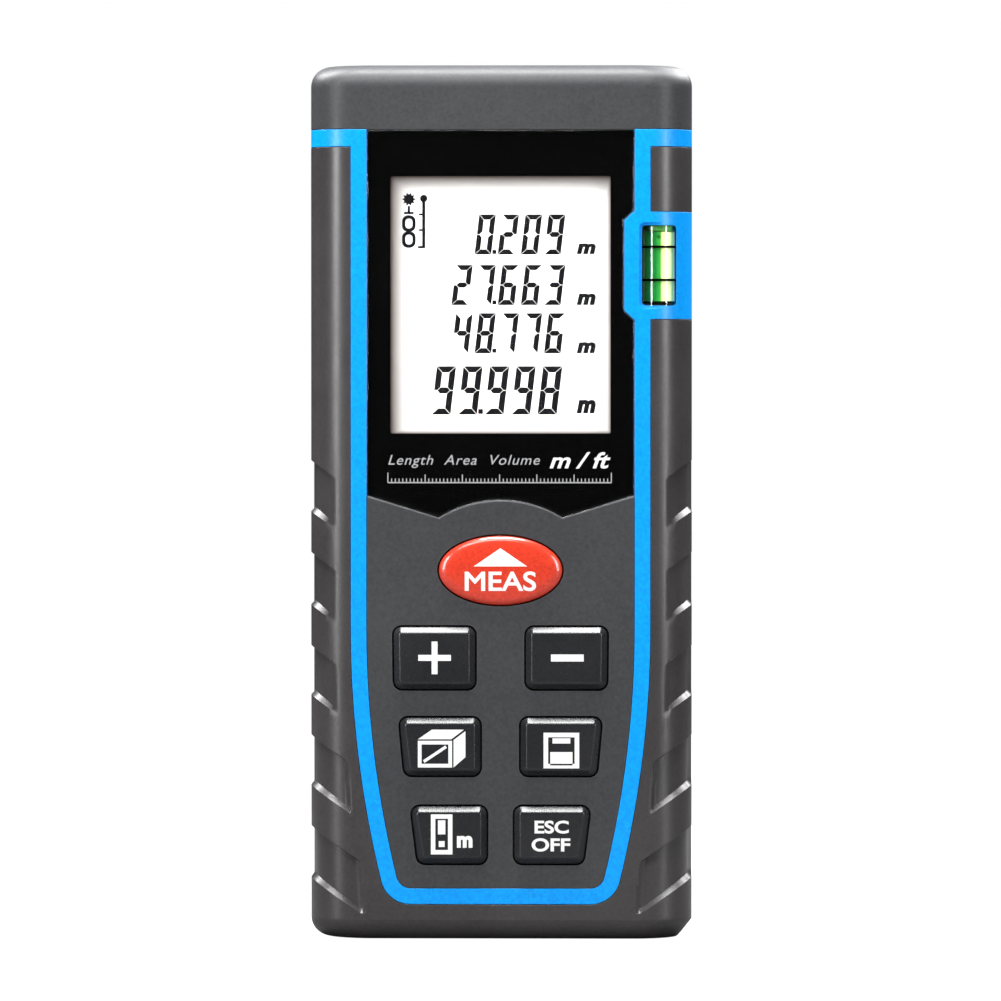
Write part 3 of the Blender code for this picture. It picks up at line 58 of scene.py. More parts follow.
camera_lens = 250
seen_width = 134.6 * mm
aim = Vector((0, face_y, 59.2 * mm))
camera_turn, camera_rise = radians(1.2), radians(1.0)
camera_data = bpy.data.cameras.new("camera")
camera_data.lens = camera_lens
camera_data.sensor_width = 36
camera_data.clip_start = 0.05
camera_data.clip_end = 20
camera = bpy.data.objects.new("camera", camera_data)
bpy.context.scene.collection.objects.link(camera)
backward = Vector(
    (sin(camera_turn) * cos(camera_rise), -cos(camera_turn) * cos(camera_rise), sin(camera_rise))
)
camera.location = aim + backward * seen_width * camera_lens / camera_data.sensor_width
camera.rotation_euler = backward.to_track_quat("Z", "Y").to_euler()
bpy.context.scene.camera = camera
bpy.context.scene.view_settings.view_transform = "Standard"


# Studio
# A round floor that looks white but sends little light back, a bright surround that only the camera
# sees, and soft lamps: three overhead, one high in front, one behind, and a tall strip on each side.
def lamp(name, place, target, width, height, watts):
    data = bpy.data.lights.new(name, "AREA")
    data.shape = "RECTANGLE"
    data.size, data.size_y, data.energy = width, height, watts
    made = bpy.data.objects.new(name, data)
    made.location = place
    made.rotation_euler = (Vector(place) - Vector(target)).to_track_quat("Z", "Y").to_euler()
    bpy.context.scene.collection.objects.link(made)


middle = Vector((0, face_y, 60 * mm))
lamp("over_lamp", (0, -0.03, 0.42), (0, -0.02, 60 * mm), 0.18, 0.12, 2.9)
lamp("over_left_lamp", (-0.22, 0.15, 0.40), (0, 0, 40 * mm), 0.16, 0.24, 3.0)
lamp("over_right_lamp", (0.22, 0.15, 0.40), (0, 0, 40 * mm), 0.16, 0.24, 2.2)
lamp("high_lamp", (-0.06, -0.18, 0.31), (0, face_y, 95 * mm), 0.20, 0.10, 0.72)
lamp("left_strip", (-0.42, -0.36, 0.20), middle, 0.10, 0.34, 2.1)
lamp("right_strip", (0.42, -0.36, 0.20), middle, 0.09, 0.34, 1.6)
lamp("rear_lamp", (0.35, 0.70, 0.55), middle, 0.40, 0.40, 5)

def fill(tree, socket, value):
    """Links a shader socket to another one, or gives it a number or a colour."""
    if isinstance(value, bpy.types.NodeSocket):
        tree.links.new(value, socket)
    else:
        socket.default_value = (*value, 1) if socket.type == "RGBA" else value


def feed(tree, node, **inputs):
    """Fills the named inputs of a node. An underscore stands for a space."""
    for label, value in inputs.items():
        fill(tree, node.inputs[label.replace("_", " ")], value)


def put(tree, kind, settings=None, **inputs):
    """A new shader node with its settings and inputs."""
    node = tree.nodes.new("ShaderNode" + kind)
    for label, value in (settings or {}).items():
        setattr(node, label, value)
    feed(tree, node, **inputs)
    return node


def mix_shaders(tree, share, first, second, end):
    """Sends a mix of two shaders to the node that ends the tree."""
    mixed = put(tree, "MixShader")
    for socket, source in zip(mixed.inputs, (share, first, second)):
        tree.links.new(source, socket)
    tree.links.new(mixed.outputs[0], tree.nodes[end].inputs["Surface"])


def new_look(name):
    """A new material, its node tree and its main shader."""
    made = bpy.data.materials.new(name)
    made.use_nodes = True
    return made, made.node_tree, made.node_tree.nodes["Principled BSDF"]


world = bpy.data.worlds.new("surround")
bpy.context.scene.world = world
world.use_nodes = True
sky = world.node_tree
feed(sky, sky.nodes["Background"], Color=(1, 1, 1), Strength=1.0)
ambient = put(sky, "Background", Color=(0.95, 0.97, 1), Strength=0.018)
mix_shaders(sky, put(sky, "LightPath").outputs["Is Camera Ray"], ambient.outputs[0],
            sky.nodes["Background"].outputs[0], "World Output")

floor_mesh = bpy.data.meshes.new("floor")
floor_shape = bmesh.new()
bmesh.ops.create_circle(floor_shape, cap_ends=True, segments=96, radius=3.0)
floor_shape.to_mesh(floor_mesh)
floor_shape.free()
floor = bpy.data.objects.new("floor", floor_mesh)
floor.location = (0, 0, -0.05 * mm)
bpy.context.scene.collection.objects.link(floor)
floor_look, tree, shader = new_look("floor_look")
feed(tree, shader, Base_Color=(0.12, 0.12, 0.12), Roughness=0.7, Specular_IOR_Level=0.1,
     Emission_Color=(1, 1, 1), Emission_Strength=put(tree, "LightPath").outputs["Is Camera Ray"])
floor.data.materials.append(floor_look)


# Finishes of the moulded plastics
# Spark-eroded tools leave a fine even grain, handling polishes the proud edges, and dust settles in
# a faint cloudy film. Each moulded piece takes these with its own strengths.
def new_group(name, outputs, **inputs):
    """A node group with named inputs and outputs, and the place on the piece that its patterns follow."""
    made = bpy.data.node_groups.new(name, "ShaderNodeTree")
    for label, value in inputs.items():
        colour = isinstance(value, tuple)
        kind = "NodeSocketColor" if colour else "NodeSocketFloat"
        socket = made.interface.new_socket(label.replace("_", " "), in_out="INPUT", socket_type=kind)
        socket.default_value = (*value, 1) if colour else value
    for label in outputs.split():
        kind = "NodeSocketColor" if label == "Colour" else "NodeSocketFloat"
        made.interface.new_socket(label, in_out="OUTPUT", socket_type=kind)
    place = put(made, "TexCoord").outputs["Object"]
    return made, made.nodes.new("NodeGroupInput").outputs, made.nodes.new("NodeGroupOutput"), place


def use_group(tree, group, **inputs):
    """The outputs of a node group, with its inputs filled."""
    return put(tree, "Group", {"node_tree": group}, **inputs).outputs


def noise(tree, place, scale, detail=4.0):
    """Smooth random values from 0 to 1."""
    return put(tree, "TexNoise", Vector=place, Scale=scale, Detail=detail, Roughness=0.6).outputs["Fac"]


def calc(tree, operation, *operands, kind="Math"):
    """One Math node. Each operand is a socket or a number."""
    node = put(tree, kind, {"operation": operation})
    for socket, value in zip(node.inputs, operands):
        fill(tree, socket, value)
    return node.outputs["Value"]


def mix(tree, share, first, second, blend="MIX"):
    """One colour over another."""
    settings = {"data_type": "RGBA", "blend_type": blend}
    return put(tree, "Mix", settings, Factor=share, A=first, B=second).outputs["Result"]


def moulded_group():
    """Grain, polish on worn edges and a faint film of dust, shared by every moulded plastic."""
    tree, given, out, place = new_group(
        "moulded_surface", "Colour Roughness Height",
        Colour=(0.1, 0.1, 0.1), Roughness=0.5, Grain_Size=2500.0, Grain=0.5, Wear=0.5, Dust=0.5,
    )
    cells = put(tree, "TexVoronoi", Vector=place, Scale=given["Grain Size"]).outputs["Distance"]
    grain = calc(tree, "ADD", cells, noise(tree, place, 9000.0, 2.0))
    fleck = calc(tree, "MULTIPLY", calc(tree, "SUBTRACT", noise(tree, place, 2300.0, 2.0), 0.5), 0.7)
    flecked = mix(tree, 1.0, given["Colour"], calc(tree, "ADD", fleck, 1.0), "MULTIPLY")

    bevelled = put(tree, "Bevel", {"samples": 4}, Radius=0.35 * mm).outputs["Normal"]
    true_normal = put(tree, "NewGeometry").outputs["Normal"]
    edge = calc(tree, "SUBTRACT", 1.0, calc(tree, "DOT_PRODUCT", bevelled, true_normal, kind="VectorMath"))
    worn = calc(tree, "MULTIPLY", calc(tree, "MULTIPLY", edge, 5.0), noise(tree, place, 160.0, 5.0))
    worn = calc(tree, "MINIMUM", calc(tree, "MULTIPLY", worn, given["Wear"]), 1.0)

    film = calc(tree, "SUBTRACT", noise(tree, place, 45.0, 6.0), 0.42)
    film = calc(tree, "MAXIMUM", calc(tree, "MULTIPLY", film, given["Dust"]), 0.0)
    dusty = mix(tree, film, flecked, (0.32, 0.31, 0.3))
    rough = calc(tree, "SUBTRACT", given["Roughness"], calc(tree, "MULTIPLY", worn, 0.15))
    rough = calc(tree, "ADD", rough, calc(tree, "MULTIPLY", film, 0.6))
    streaks = calc(tree, "MULTIPLY", calc(tree, "SUBTRACT", noise(tree, place, 300.0, 3.0), 0.5), 0.12)
    feed(tree, out, Colour=mix(tree, worn, dusty, (0.07, 0.07, 0.07), "ADD"),
         Roughness=calc(tree, "ADD", rough, streaks), Height=calc(tree, "MULTIPLY", grain, given["Grain"]))
    return tree


moulded_surface = moulded_group()


def moulded(name, colour, roughness, grain_size=2600.0, grain=0.5, wear=0.4, dust=0.25, edge=0.12 * mm,
            coat=0.0, specular=0.5):
    """A moulded plastic or rubber with the shared surface and softly rounded edges."""
    made, tree, shader = new_look(name)
    surface = use_group(tree, moulded_surface, Colour=colour, Roughness=roughness, Grain_Size=grain_size,
                        Grain=grain, Wear=wear, Dust=dust)
    soft_edge = put(tree, "Bevel", {"samples": 6}, Radius=edge).outputs["Normal"]
    bump = put(tree, "Bump", Distance=0.012 * mm, Strength=0.35, Height=surface["Height"], Normal=soft_edge)
    feed(tree, shader, Base_Color=surface["Colour"], Roughness=surface["Roughness"],
         Normal=bump.outputs["Normal"], Coat_Weight=coat, Coat_Roughness=0.08, Specular_IOR_Level=specular)
    return made


# Front case half
# Injection-moulded dark plastic: the display panel and the top cap stand out from a lower shoulder
# that the soft skin and the blue line lie round. It has holes for the display, the keys and the level.
def arc(centre, radius, start, end, steps):
    turns = [start + (end - start) * i / steps for i in range(steps + 1)]
    return [(centre[0] + radius * cos(a), centre[1] + radius * sin(a)) for a in turns]


def rounded(corners, steps=8):
    """A closed outline through corners given as (u, v, radius), each filleted to its radius."""
    outline = []
    for i, (u, v, radius) in enumerate(corners):
        here = Vector((u, v))
        before = Vector(corners[i - 1][:2]) - here
        after = Vector(corners[(i + 1) % len(corners)][:2]) - here
        if radius <= 0:
            outline.append((u, v))
            continue
        half = before.angle(after) / 2
        centre = here + (before.normalized() + after.normalized()).normalized() * radius / sin(half)
        reach = radius * cos(half) / sin(half)
        first = here + before.normalized() * reach - centre
        last = here + after.normalized() * reach - centre
        start = atan2(first.y, first.x)
        outline += arc(centre, radius, start, start - first.angle_signed(last), steps)
    return outline


def rectangle(u0, u1, v0, v1, radius=0.0):
    return rounded([(u0, v0, radius), (u1, v0, radius), (u1, v1, radius), (u0, v1, radius)], 6)


def box_edge(box, grow=0.0, radius=0.0):
    """The outline of a box seen from the front, moved outward by grow."""
    low, high = box
    return rectangle(low.x - grow, high.x + grow, low.z - grow, high.z + grow, radius)


def add_piece(name, mesh):
    """Puts a mesh in the scene as an object."""
    made = bpy.data.objects.new(name, mesh)
    bpy.context.scene.collection.objects.link(made)
    return made


def mesh_of(name, shape):
    mesh = bpy.data.meshes.new(name)
    bmesh.ops.recalc_face_normals(shape, faces=shape.faces)
    shape.to_mesh(mesh)
    shape.free()
    return mesh


def realised(curve, place=Matrix()):
    """The mesh of a curve or a text, which is moved to its place."""
    helper = add_piece("helper", curve)
    helper.matrix_world = place
    bpy.context.view_layer.update()
    mesh = bpy.data.meshes.new_from_object(helper.evaluated_get(bpy.context.evaluated_depsgraph_get()))
    mesh.transform(helper.matrix_world)
    bpy.data.objects.remove(helper)
    return mesh


def slab(name, rings, near, far, lead=0.0, upright=False):
    """A solid with a flat outline between two depths, seen from the front or, if upright, from above.

    Rings after the first are holes, and lead rounds the edges nearest the viewer.
    """
    curve = bpy.data.curves.new(name, "CURVE")
    curve.dimensions = "2D"
    curve.fill_mode = "BOTH"
    curve.extrude = (far - near) / 2
    for ring in rings:
        spline = curve.splines.new("POLY")
        spline.points.add(len(ring) - 1)
        for point, (u, v) in zip(spline.points, ring):
            point.co = (u, v, 0, 1)
        spline.use_cyclic_u = True
    if upright:
        place = Matrix.Translation((0, 0, (near + far) / 2))
    else:
        place = Matrix.Translation((0, (near + far) / 2, 0)) @ Matrix.Rotation(radians(90), 4, "X")
    mesh = realised(curve, place)
    shape = bmesh.new()
    shape.from_mesh(mesh)
    bmesh.ops.remove_doubles(shape, verts=shape.verts, dist=1e-7)
    if lead and upright:
        soften(shape, lead, lambda co: co.z > far - 1e-6)
    elif lead:
        soften(shape, lead, lambda co: co.y < near + 1e-6)
    bpy.data.meshes.remove(mesh)
    return add_piece(name, mesh_of(name, shape))


def soften(shape, radius, chosen):
    """Rounds the sharp edges whose two ends both satisfy chosen."""
    edges = []
    for edge in shape.edges:
        sharp = len(edge.link_faces) == 2 and edge.calc_face_angle() > radians(25)
        if sharp and all(chosen(vert.co) for vert in edge.verts):
            edges.append(edge)
    bmesh.ops.bevel(shape, geom=edges, offset=radius, segments=4, profile=0.5, affect="EDGES")


def bar(name, diameter, start, end, steps=48, end_diameter=None):
    """A round bar or cone between two points."""
    start, end = Vector(start), Vector(end)
    shape = bmesh.new()
    bmesh.ops.create_cone(
        shape, cap_ends=True, segments=steps, radius1=diameter / 2,
        radius2=(diameter if end_diameter is None else end_diameter) / 2, depth=(end - start).length,
    )
    turn = Vector((0, 0, 1)).rotation_difference(end - start).to_matrix().to_4x4()
    bmesh.ops.transform(shape, matrix=Matrix.Translation((start + end) / 2) @ turn, verts=shape.verts)
    return add_piece(name, mesh_of(name, shape))


def post(name, diameter, x, z, near, far, end_diameter=None):
    """A round bar that runs from front to rear."""
    return bar(name, diameter, (x, near, z), (x, far, z), 48, end_diameter)


def pillar(name, diameter, x, y, low, high, steps=48):
    """An upright round bar."""
    return bar(name, diameter, (x, y, low), (x, y, high), steps)


def middle_of(box):
    """The middle of a box, as x, y and z."""
    low, high = box
    return [(low[i] + high[i]) / 2 for i in range(3)]


def carve(target, operation, *tools):
    """Applies one Boolean for each tool and removes the tools."""
    for tool in tools:
        modifier = target.modifiers.new("carve", "BOOLEAN")
        modifier.operation = operation
        modifier.solver = "EXACT"
        modifier.object = tool
    bpy.context.view_layer.update()
    mesh = bpy.data.meshes.new_from_object(target.evaluated_get(bpy.context.evaluated_depsgraph_get()))
    target.modifiers.clear()
    target.data = mesh
    for tool in tools:
        bpy.data.objects.remove(tool)
    return target


def cut(target, *tools):
    return carve(target, "DIFFERENCE", *tools)


def join(target, *tools):
    return carve(target, "UNION", *tools)


def shade(piece, look, nodes=(), body="meter_body", angle=32):
    """Smooth faces with flat areas kept flat, the piece's material and its body; the CAD nodes that it
    replaces are hidden.
    """
    piece.data.materials.clear()
    piece.data.materials.append(look)
    for face in piece.data.polygons:
        face.material_index = 0
    piece.data.shade_smooth()
    piece.data.set_sharp_from_angle(angle=radians(angle))
    flat = piece.modifiers.new("flat_faces", "WEIGHTED_NORMAL")
    flat.keep_sharp = True
    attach(piece, body)
    if nodes:
        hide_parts(*nodes)
    return piece


side_radius, rear_radius, end_radius, corner_radius = 6 * mm, 5 * mm, 3 * mm, 2.8 * mm
eyelet_across, eyelet_up = 2.0 * mm, 2.6 * mm
seal_low, seal_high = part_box("case_seal")
seam_y = (case_high.y + seal_low.y) / 2
front_seam, rear_seam = seam_y - 0.03 * mm, seam_y + 0.03 * mm
rear_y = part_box("rear_shell")[1].y


def outline_half_widths(z, inset):
    """How far the body reaches to the left and to the right at a height, with its rounded corners."""
    half = half_width - inset
    radius = max(corner_radius - inset, 0.4 * mm)
    left = right = half
    down = top_z - inset - z
    if down < radius:
        bend = radius - sqrt(max(radius**2 - (radius - down) ** 2, 0))
        left = right = half - bend
    up = z - inset
    if up < radius:
        left = half - (radius - sqrt(max(radius**2 - (radius - up) ** 2, 0)))
    if up < eyelet_up:
        right = half - eyelet_across * (1 - up / eyelet_up)
    return left, right


def end_bend(z, inset):
    """How far the front or rear face has turned inward at a height, near either end."""
    radius = max(end_radius - inset, 0.4 * mm)
    near_end = min(z - inset, top_z - inset - z)
    if near_end >= radius:
        return 0.0
    return radius - sqrt(max(radius**2 - (radius - near_end) ** 2, 0))


def bridge(shape, rows):
    """Faces between rows of points and over both ends. A row of one point is a tip."""
    for first, second in zip(rows, rows[1:]):
        count = max(len(first), len(second))
        for i in range(count):
            j = (i + 1) % count
            if len(first) == 1:
                shape.faces.new((first[0], second[j], second[i]))
            elif len(second) == 1:
                shape.faces.new((first[i], first[j], second[0]))
            else:
                shape.faces.new((first[i], first[j], second[j], second[i]))
    for end in (rows[0][::-1], rows[-1]):
        if len(end) > 1:
            shape.faces.new(end)


def body_form(name, inset, far, low=None, rear=False, rows=(), corner_steps=14, shape_point=None):
    """The body's outer form on one side of the seam, moved in by inset, from the seam plane out.

    Each row up the body follows its cross-section. shape_point may move a point of the grid, given
    the row's height, the point, and the section's outward direction there.
    """
    radius = max((rear_radius if rear else side_radius) - inset, 0.4 * mm)
    sign = 1 if rear else -1
    face = (rear_y - inset) if rear else (face_y + inset)
    foot, head = inset, top_z - inset
    reach, count = 3.2 * mm, 16
    bends = [reach * (1 - cos(pi / 2 * i / count)) for i in range(count + 1)]
    heights = set([foot + bend for bend in bends] + [head - bend for bend in bends] + list(rows))
    if foot < eyelet_up:
        heights.add(eyelet_up)
    if low is not None and low < foot:
        heights.add(low)
    shape = bmesh.new()
    rings = []
    for z in sorted(heights):
        left, right = outline_half_widths(z, inset)
        front = face - sign * end_bend(z, inset)
        points = []
        for side, half in ((-1, left), (1, right)):
            straight = front - sign * radius
            quarter = [(side * half, far, (side, 0)), (side * half, (far + straight) / 2, (side, 0))]
            for i in range(corner_steps + 1):
                turn = pi / 2 * i / corner_steps
                across, out = cos(turn), sin(turn)
                quarter.append((side * (half - radius + radius * across), straight + sign * radius * out,
                                (side * across, sign * out)))
            if shape_point:
                quarter += [(side * (half - radius - 0.3 * mm * i), front, (0, sign)) for i in range(1, 9)]
            points += quarter if side < 0 else quarter[::-1]
        ring = []
        for x, y, outward in points:
            ring.append(shape.verts.new(shape_point(x, y, z, outward) if shape_point else (x, y, z)))
        rings.append(ring)
    bridge(shape, rings)
    return add_piece(name, mesh_of(name, shape))


trim_half = 2.1 * mm / 2
trim_line_x = 19.1 * mm
taper_z, taper_radius = 42 * mm, 142 * mm
trim_foot_z, trim_corner = 5.9 * mm, 3 * mm
trim_top = top_z - 8.7 * mm
trim_bar_low = trim_top - 2.3 * mm
joint_line = 0.09 * mm


def trim_path(offset):
    """The right half of the blue line's middle, moved outward by offset, from its taper down."""
    bend = (trim_line_x - taper_radius, taper_z)
    corner_z = trim_foot_z + trim_corner
    corner_x = bend[0] + sqrt((taper_radius - trim_corner) ** 2 - (corner_z - taper_z) ** 2)
    turn = atan2(corner_z - taper_z, corner_x - bend[0])
    taper = arc(bend, taper_radius + offset, 0, turn, 16)
    return taper + arc((corner_x, corner_z), trim_corner + offset, turn, -pi / 2, 10)[1:]


def mirrored(right):
    """An outline's right half followed by its left half."""
    return right + [(-x, z) for x, z in reversed(right)]


def inside_trim(offset, top):
    """The area inside the blue line, up to a height."""
    return mirrored([(trim_line_x + offset, top)] + trim_path(offset))


vial_low, vial_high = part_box("vial_body")
vial_x, vial_y, vial_z = middle_of((vial_low, vial_high))
frame_wide, frame_tall, frame_chamfer = 9.3 * mm, 14.4 * mm, 1.2 * mm


def level_frame(grow):
    """The outline of the level's blue frame, with bevelled corners towards the display."""
    left = vial_x - frame_wide / 2 - grow
    low, high = vial_z - frame_tall / 2 - grow, vial_z + frame_tall / 2 + grow
    right = 2 * half_width
    return [(left, low + frame_chamfer), (left + frame_chamfer, low), (right, low), (right, high),
            (left + frame_chamfer, high), (left, high - frame_chamfer)]


window_side_foot, window_low_foot, window_middle_foot = 59.9 * mm, 56.9 * mm, 59.3 * mm
window_low_x = 8.35 * mm


def window_edge(grow):
    """The display window's outline: straight sides, and a foot with two low points."""
    half = trim_line_x - trim_half - joint_line + grow
    rise = window_middle_foot - window_low_foot
    bend = (window_low_x**2 + rise**2) / (2 * rise)
    lean = atan2(window_low_x, bend - rise)
    hump = arc((0, window_middle_foot - bend), bend - grow, pi / 2 + lean, pi / 2 - lean, 24)
    beside = level_frame(joint_line - grow)
    low, high = beside[1][1], beside[-2][1]
    top = trim_top - joint_line + grow
    foot = window_side_foot - grow
    notch = [(half, low), beside[1], beside[0], beside[-1], beside[-2], (half, high)]
    right = [(half, foot)] + notch + [(half, top)]
    return [(-half, foot)] + hump + right + [(-half, top)]


key_gap = 0.22 * mm
key_corner = 1.1 * mm
flange_reach = 0.9 * mm
# How far each small key reaches outward, at its head and at its foot.
upper_reach, middle_reach = (14.4 * mm, 14.3 * mm), (13.65 * mm, 12.9 * mm)
lower_reach = (12.1 * mm, 11.1 * mm)
small_keys = {
    "plus_key": upper_reach, "minus_key": upper_reach, "area_volume_key": middle_reach,
    "memory_key": middle_reach, "reference_key": lower_reach, "off_clear_key": lower_reach,
}


def key_side(name):
    """1 for a key on the right and -1 on the left, and how far its inner edge is from the middle."""
    low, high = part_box(name)
    return (-1 if low.x < 0 else 1), min(abs(low.x), abs(high.x)) + flange_reach



def key_edge(name, grow):
    """A small key's outline, narrower towards its foot, grown by an amount."""
    low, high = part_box(name)
    side, inner = key_side(name)
    foot, head = low.z + flange_reach, high.z - flange_reach
    outer_head, outer_foot = small_keys[name]
    radius = max(key_corner + grow, 0.3 * mm)
    corners = [(inner - grow, foot - grow, radius), (outer_foot + grow, foot - grow, radius),
               (outer_head + grow, head + grow, radius), (inner - grow, head + grow, radius)]
    return [(side * x, z) for x, z in rounded(corners)][::side]


measure_low, measure_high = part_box("measure_key")
measure_z = (measure_low.z + measure_high.z) / 2
measure_wide = measure_high.x - flange_reach
measure_tall = (measure_high.z - measure_low.z) / 2 - flange_reach


def oval(grow):
    """The red key's outline, grown by an amount."""
    turns = [2 * pi * i / 64 for i in range(64)]
    return [((measure_wide + grow) * cos(a), measure_z + (measure_tall + grow) * sin(a)) for a in turns]


far_out = 80 * mm
window_thick = 1.0 * mm
skin = 1.0 * mm
wall = 2.4 * mm
display_low, display_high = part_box("lcd_glass")
display_border = 1.2 * mm
plate_low, plate_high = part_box("end_plate")
laser_low, laser_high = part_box("laser_window")
display_edge = box_edge((display_low, display_high), -display_border, 0.3 * mm)


def plate_room(grow):
    """The outline of the raised lens plate, seen from above."""
    low, high = plate_low, plate_high
    return rectangle(low.x - grow, high.x + grow, low.y - grow, high.y + grow, 1.2 * mm + grow)


def loft(name, rings):
    """A solid skinned over rings with equal numbers of points, capped at both ends."""
    shape = bmesh.new()
    bridge(shape, [[shape.verts.new(point) for point in ring] for ring in rings])
    return add_piece(name, mesh_of(name, shape))


def foot_outline(grow):
    """The lower part of the window's outline, closed above."""
    half = window_edge(0)[0][0]
    low_part = [(max(min(x, -half), half), z) for x, z in window_edge(grow) if z < window_side_foot + 2 * mm]
    return low_part + [(-half, window_side_foot + 12 * mm), (half, window_side_foot + 12 * mm)]


raised = body_form("front_case", 0, seam_y + 2 * mm)
panel_area = slab("panel_area", [inside_trim(-trim_half - joint_line, 2 * top_z)], -far_out, far_out)
above_trim = rectangle(-far_out, far_out, trim_top + joint_line, 3 * top_z)
cap_area = slab("cap_area", [above_trim], -2 * far_out, far_out * 2)
level_area = slab("level_area", [level_frame(joint_line)], -3 * far_out, 3 * far_out)
front_case = carve(raised, "INTERSECT", cut(join(panel_area, cap_area), level_area))
join(front_case, body_form("shoulder", skin + joint_line, seam_y + 1 * mm))
openings = [
    body_form("hollow", wall, seam_y + 4 * mm),
    slab("behind", [rectangle(-far_out, far_out, -far_out, 3 * far_out)], front_seam, far_out),
    slab("window_seat", [window_edge(joint_line)], -far_out, face_y + window_thick + joint_line),
    slab("display_hole", [display_edge], -far_out, seam_y),
    slab("level_hole", [box_edge((vial_low, vial_high), 0.3 * mm)], -far_out, face_y + 6.4 * mm),
    slab("measure_hole", [oval(key_gap)], -far_out, seam_y),
    slab("end_opening", [plate_room(0.06 * mm)], top_z - 3.5 * mm, 2 * top_z, upright=True),
]
openings += [slab(name + "_hole", [key_edge(name, key_gap)], -far_out, seam_y) for name in small_keys]
bevel = 0.24 * mm
bevel_rings = [[(x, face_y + depth, z) for x, z in foot_outline(grow)]
               for grow, depth in ((0.0, bevel), (bevel, 0.0), (bevel, -mm))]
openings.append(loft("window_bevel", bevel_rings))
cut(front_case, *openings)
case_plastic = moulded("case_plastic", (0.048, 0.049, 0.053), 0.42, grain_size=3000, wear=0.3, dust=0.1,
                       specular=0.25)
shade(front_case, case_plastic, ["front_shell"])


# Rear case half
# The same dark plastic: a battery bay with a ledge for its door, four deep wells for the case screws,
# a shallow seat for the label, and the openings for the laser and the receiving lens in the top end.
door_low, door_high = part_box("battery_door")
door_foot = 7.0 * mm
door_thick = 1.6 * mm
door_inner = rear_y - door_thick
label_low, label_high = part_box("rear_label")
bay_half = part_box("battery_2")[1].x + 0.3 * mm
bay_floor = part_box("battery_1")[0].y - 0.3 * mm
bay_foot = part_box("contact_bridge")[0].z - 0.3 * mm
bay_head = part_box("contact_positive")[1].z + 0.3 * mm
bay_wall = 1.4 * mm
hook_x, hook_half, catch_half = 5 * mm, 2 * mm, 4 * mm


def door_edge(grow):
    left, right = door_low.x - grow, door_high.x + grow
    return rectangle(left, right, door_foot - grow, door_high.z + grow, 2 * mm + grow)


def bay_edge(grow, radius):
    return rectangle(-bay_half - grow, bay_half + grow, bay_foot - grow, bay_head + grow, radius)


def pocket(name, half, low, high):
    """A pocket in the ledge under the door, for its tongues or its catch."""
    gap = 0.3 * mm
    return slab(name, [rectangle(-half - gap, half + gap, low, high)], door_inner - 1.8 * mm, door_inner)


rear_case = body_form("rear_case", 0, rear_seam, rear=True)
cut(rear_case, body_form("rear_hollow", 2.3 * mm, seam_y - 2 * mm, rear=True))
case_screws = [f"case_screw_{number}" for number in (1, 2, 3, 4)]
screw_spots = []
for name in case_screws:
    x, _, z = middle_of(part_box(name))
    screw_spots.append((x, z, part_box(name)[1].y))
ledge_side, ledge_foot, ledge_head = 2 * mm, 3 * mm, 2 * mm
ledge_edge = rectangle(door_low.x - ledge_side, door_high.x + ledge_side, door_foot - ledge_foot,
                       door_high.z + ledge_head, 1 * mm)
inside = [
    slab("bay_walls", [bay_edge(bay_wall, bay_wall)], bay_floor - bay_wall, rear_y - 0.5 * mm),
    slab("ledge", [ledge_edge], door_inner - 2.1 * mm, rear_y - 0.6 * mm),
]
for i, (x, z, head_y) in enumerate(screw_spots):
    inside.append(post(f"post_{i}", 6.8 * mm, x, z, rear_seam + 0.01 * mm * i, rear_y - 1.1 * mm))
join(rear_case, *inside)
recess_y = rear_y - (label_high.y - label_low.y) - 0.25 * mm
laser_x, laser_y, _ = middle_of((laser_low, laser_high))
laser_wide = laser_high.x - laser_low.x
tools = [
    slab("bay", [bay_edge(0, 0.6 * mm)], bay_floor, far_out),
    slab("door_seat", [door_edge(0.08 * mm)], door_inner - 0.05 * mm, far_out),
    pocket("hook_slot", hook_x + hook_half, door_low.z - 0.3 * mm, bay_foot + bay_wall),
    pocket("catch_slot", catch_half, bay_head - mm, door_high.z + 0.3 * mm),
    slab("label_seat", [box_edge((label_low, label_high), 0.1 * mm, 1.1 * mm)], recess_y, far_out),
    slab("end_opening", [plate_room(0.06 * mm)], top_z - 3.5 * mm, 2 * top_z, upright=True),
    pillar("laser_seat", laser_wide + 0.1 * mm, laser_x, laser_y, laser_low.z - 0.05 * mm, 2 * top_z),
    pillar("laser_hole", 2.6 * mm, laser_x, laser_y, top_z - 4 * mm, 1.5 * top_z),
]
finger_z, dip_y = door_high.z + 1.2 * mm, rear_y + 2.6 * mm
dip = pillar("finger_dip", 13 * mm, 0, dip_y, finger_z - 1 * mm, finger_z + 3.4 * mm)
to_face, from_face = Matrix.Translation((0, -rear_y, 0)), Matrix.Translation((0, rear_y, 0))
dip.data.transform(from_face @ Matrix.Diagonal((1, 0.62, 1, 1)) @ to_face)
tools.append(dip)
well, shank = 4.6 * mm, 2.6 * mm
for i, (x, z, head_y) in enumerate(screw_spots):
    seat = head_y - 1.45 * mm
    tools.append(post(f"well_{i}", well, x, z, seat, far_out))
    tools.append(post(f"shank_{i}", shank, x, z, -far_out, seat + mm))
    tools.append(post(f"well_rim_{i}", well, x, z, rear_y - 0.5 * mm, rear_y + 0.5 * mm, well + 2 * mm))
cut(rear_case, *tools)
shade(rear_case, case_plastic, ["rear_shell"])


# Seal between the halves
# A soft black cord lies in a groove round the rear half and fills the seam from within.
def rubber(name, colour, roughness=0.8):
    return moulded(name, colour, roughness, grain_size=1800, grain=0.6, wear=0.15, dust=0.5, edge=0.2 * mm,
                   specular=0.3)


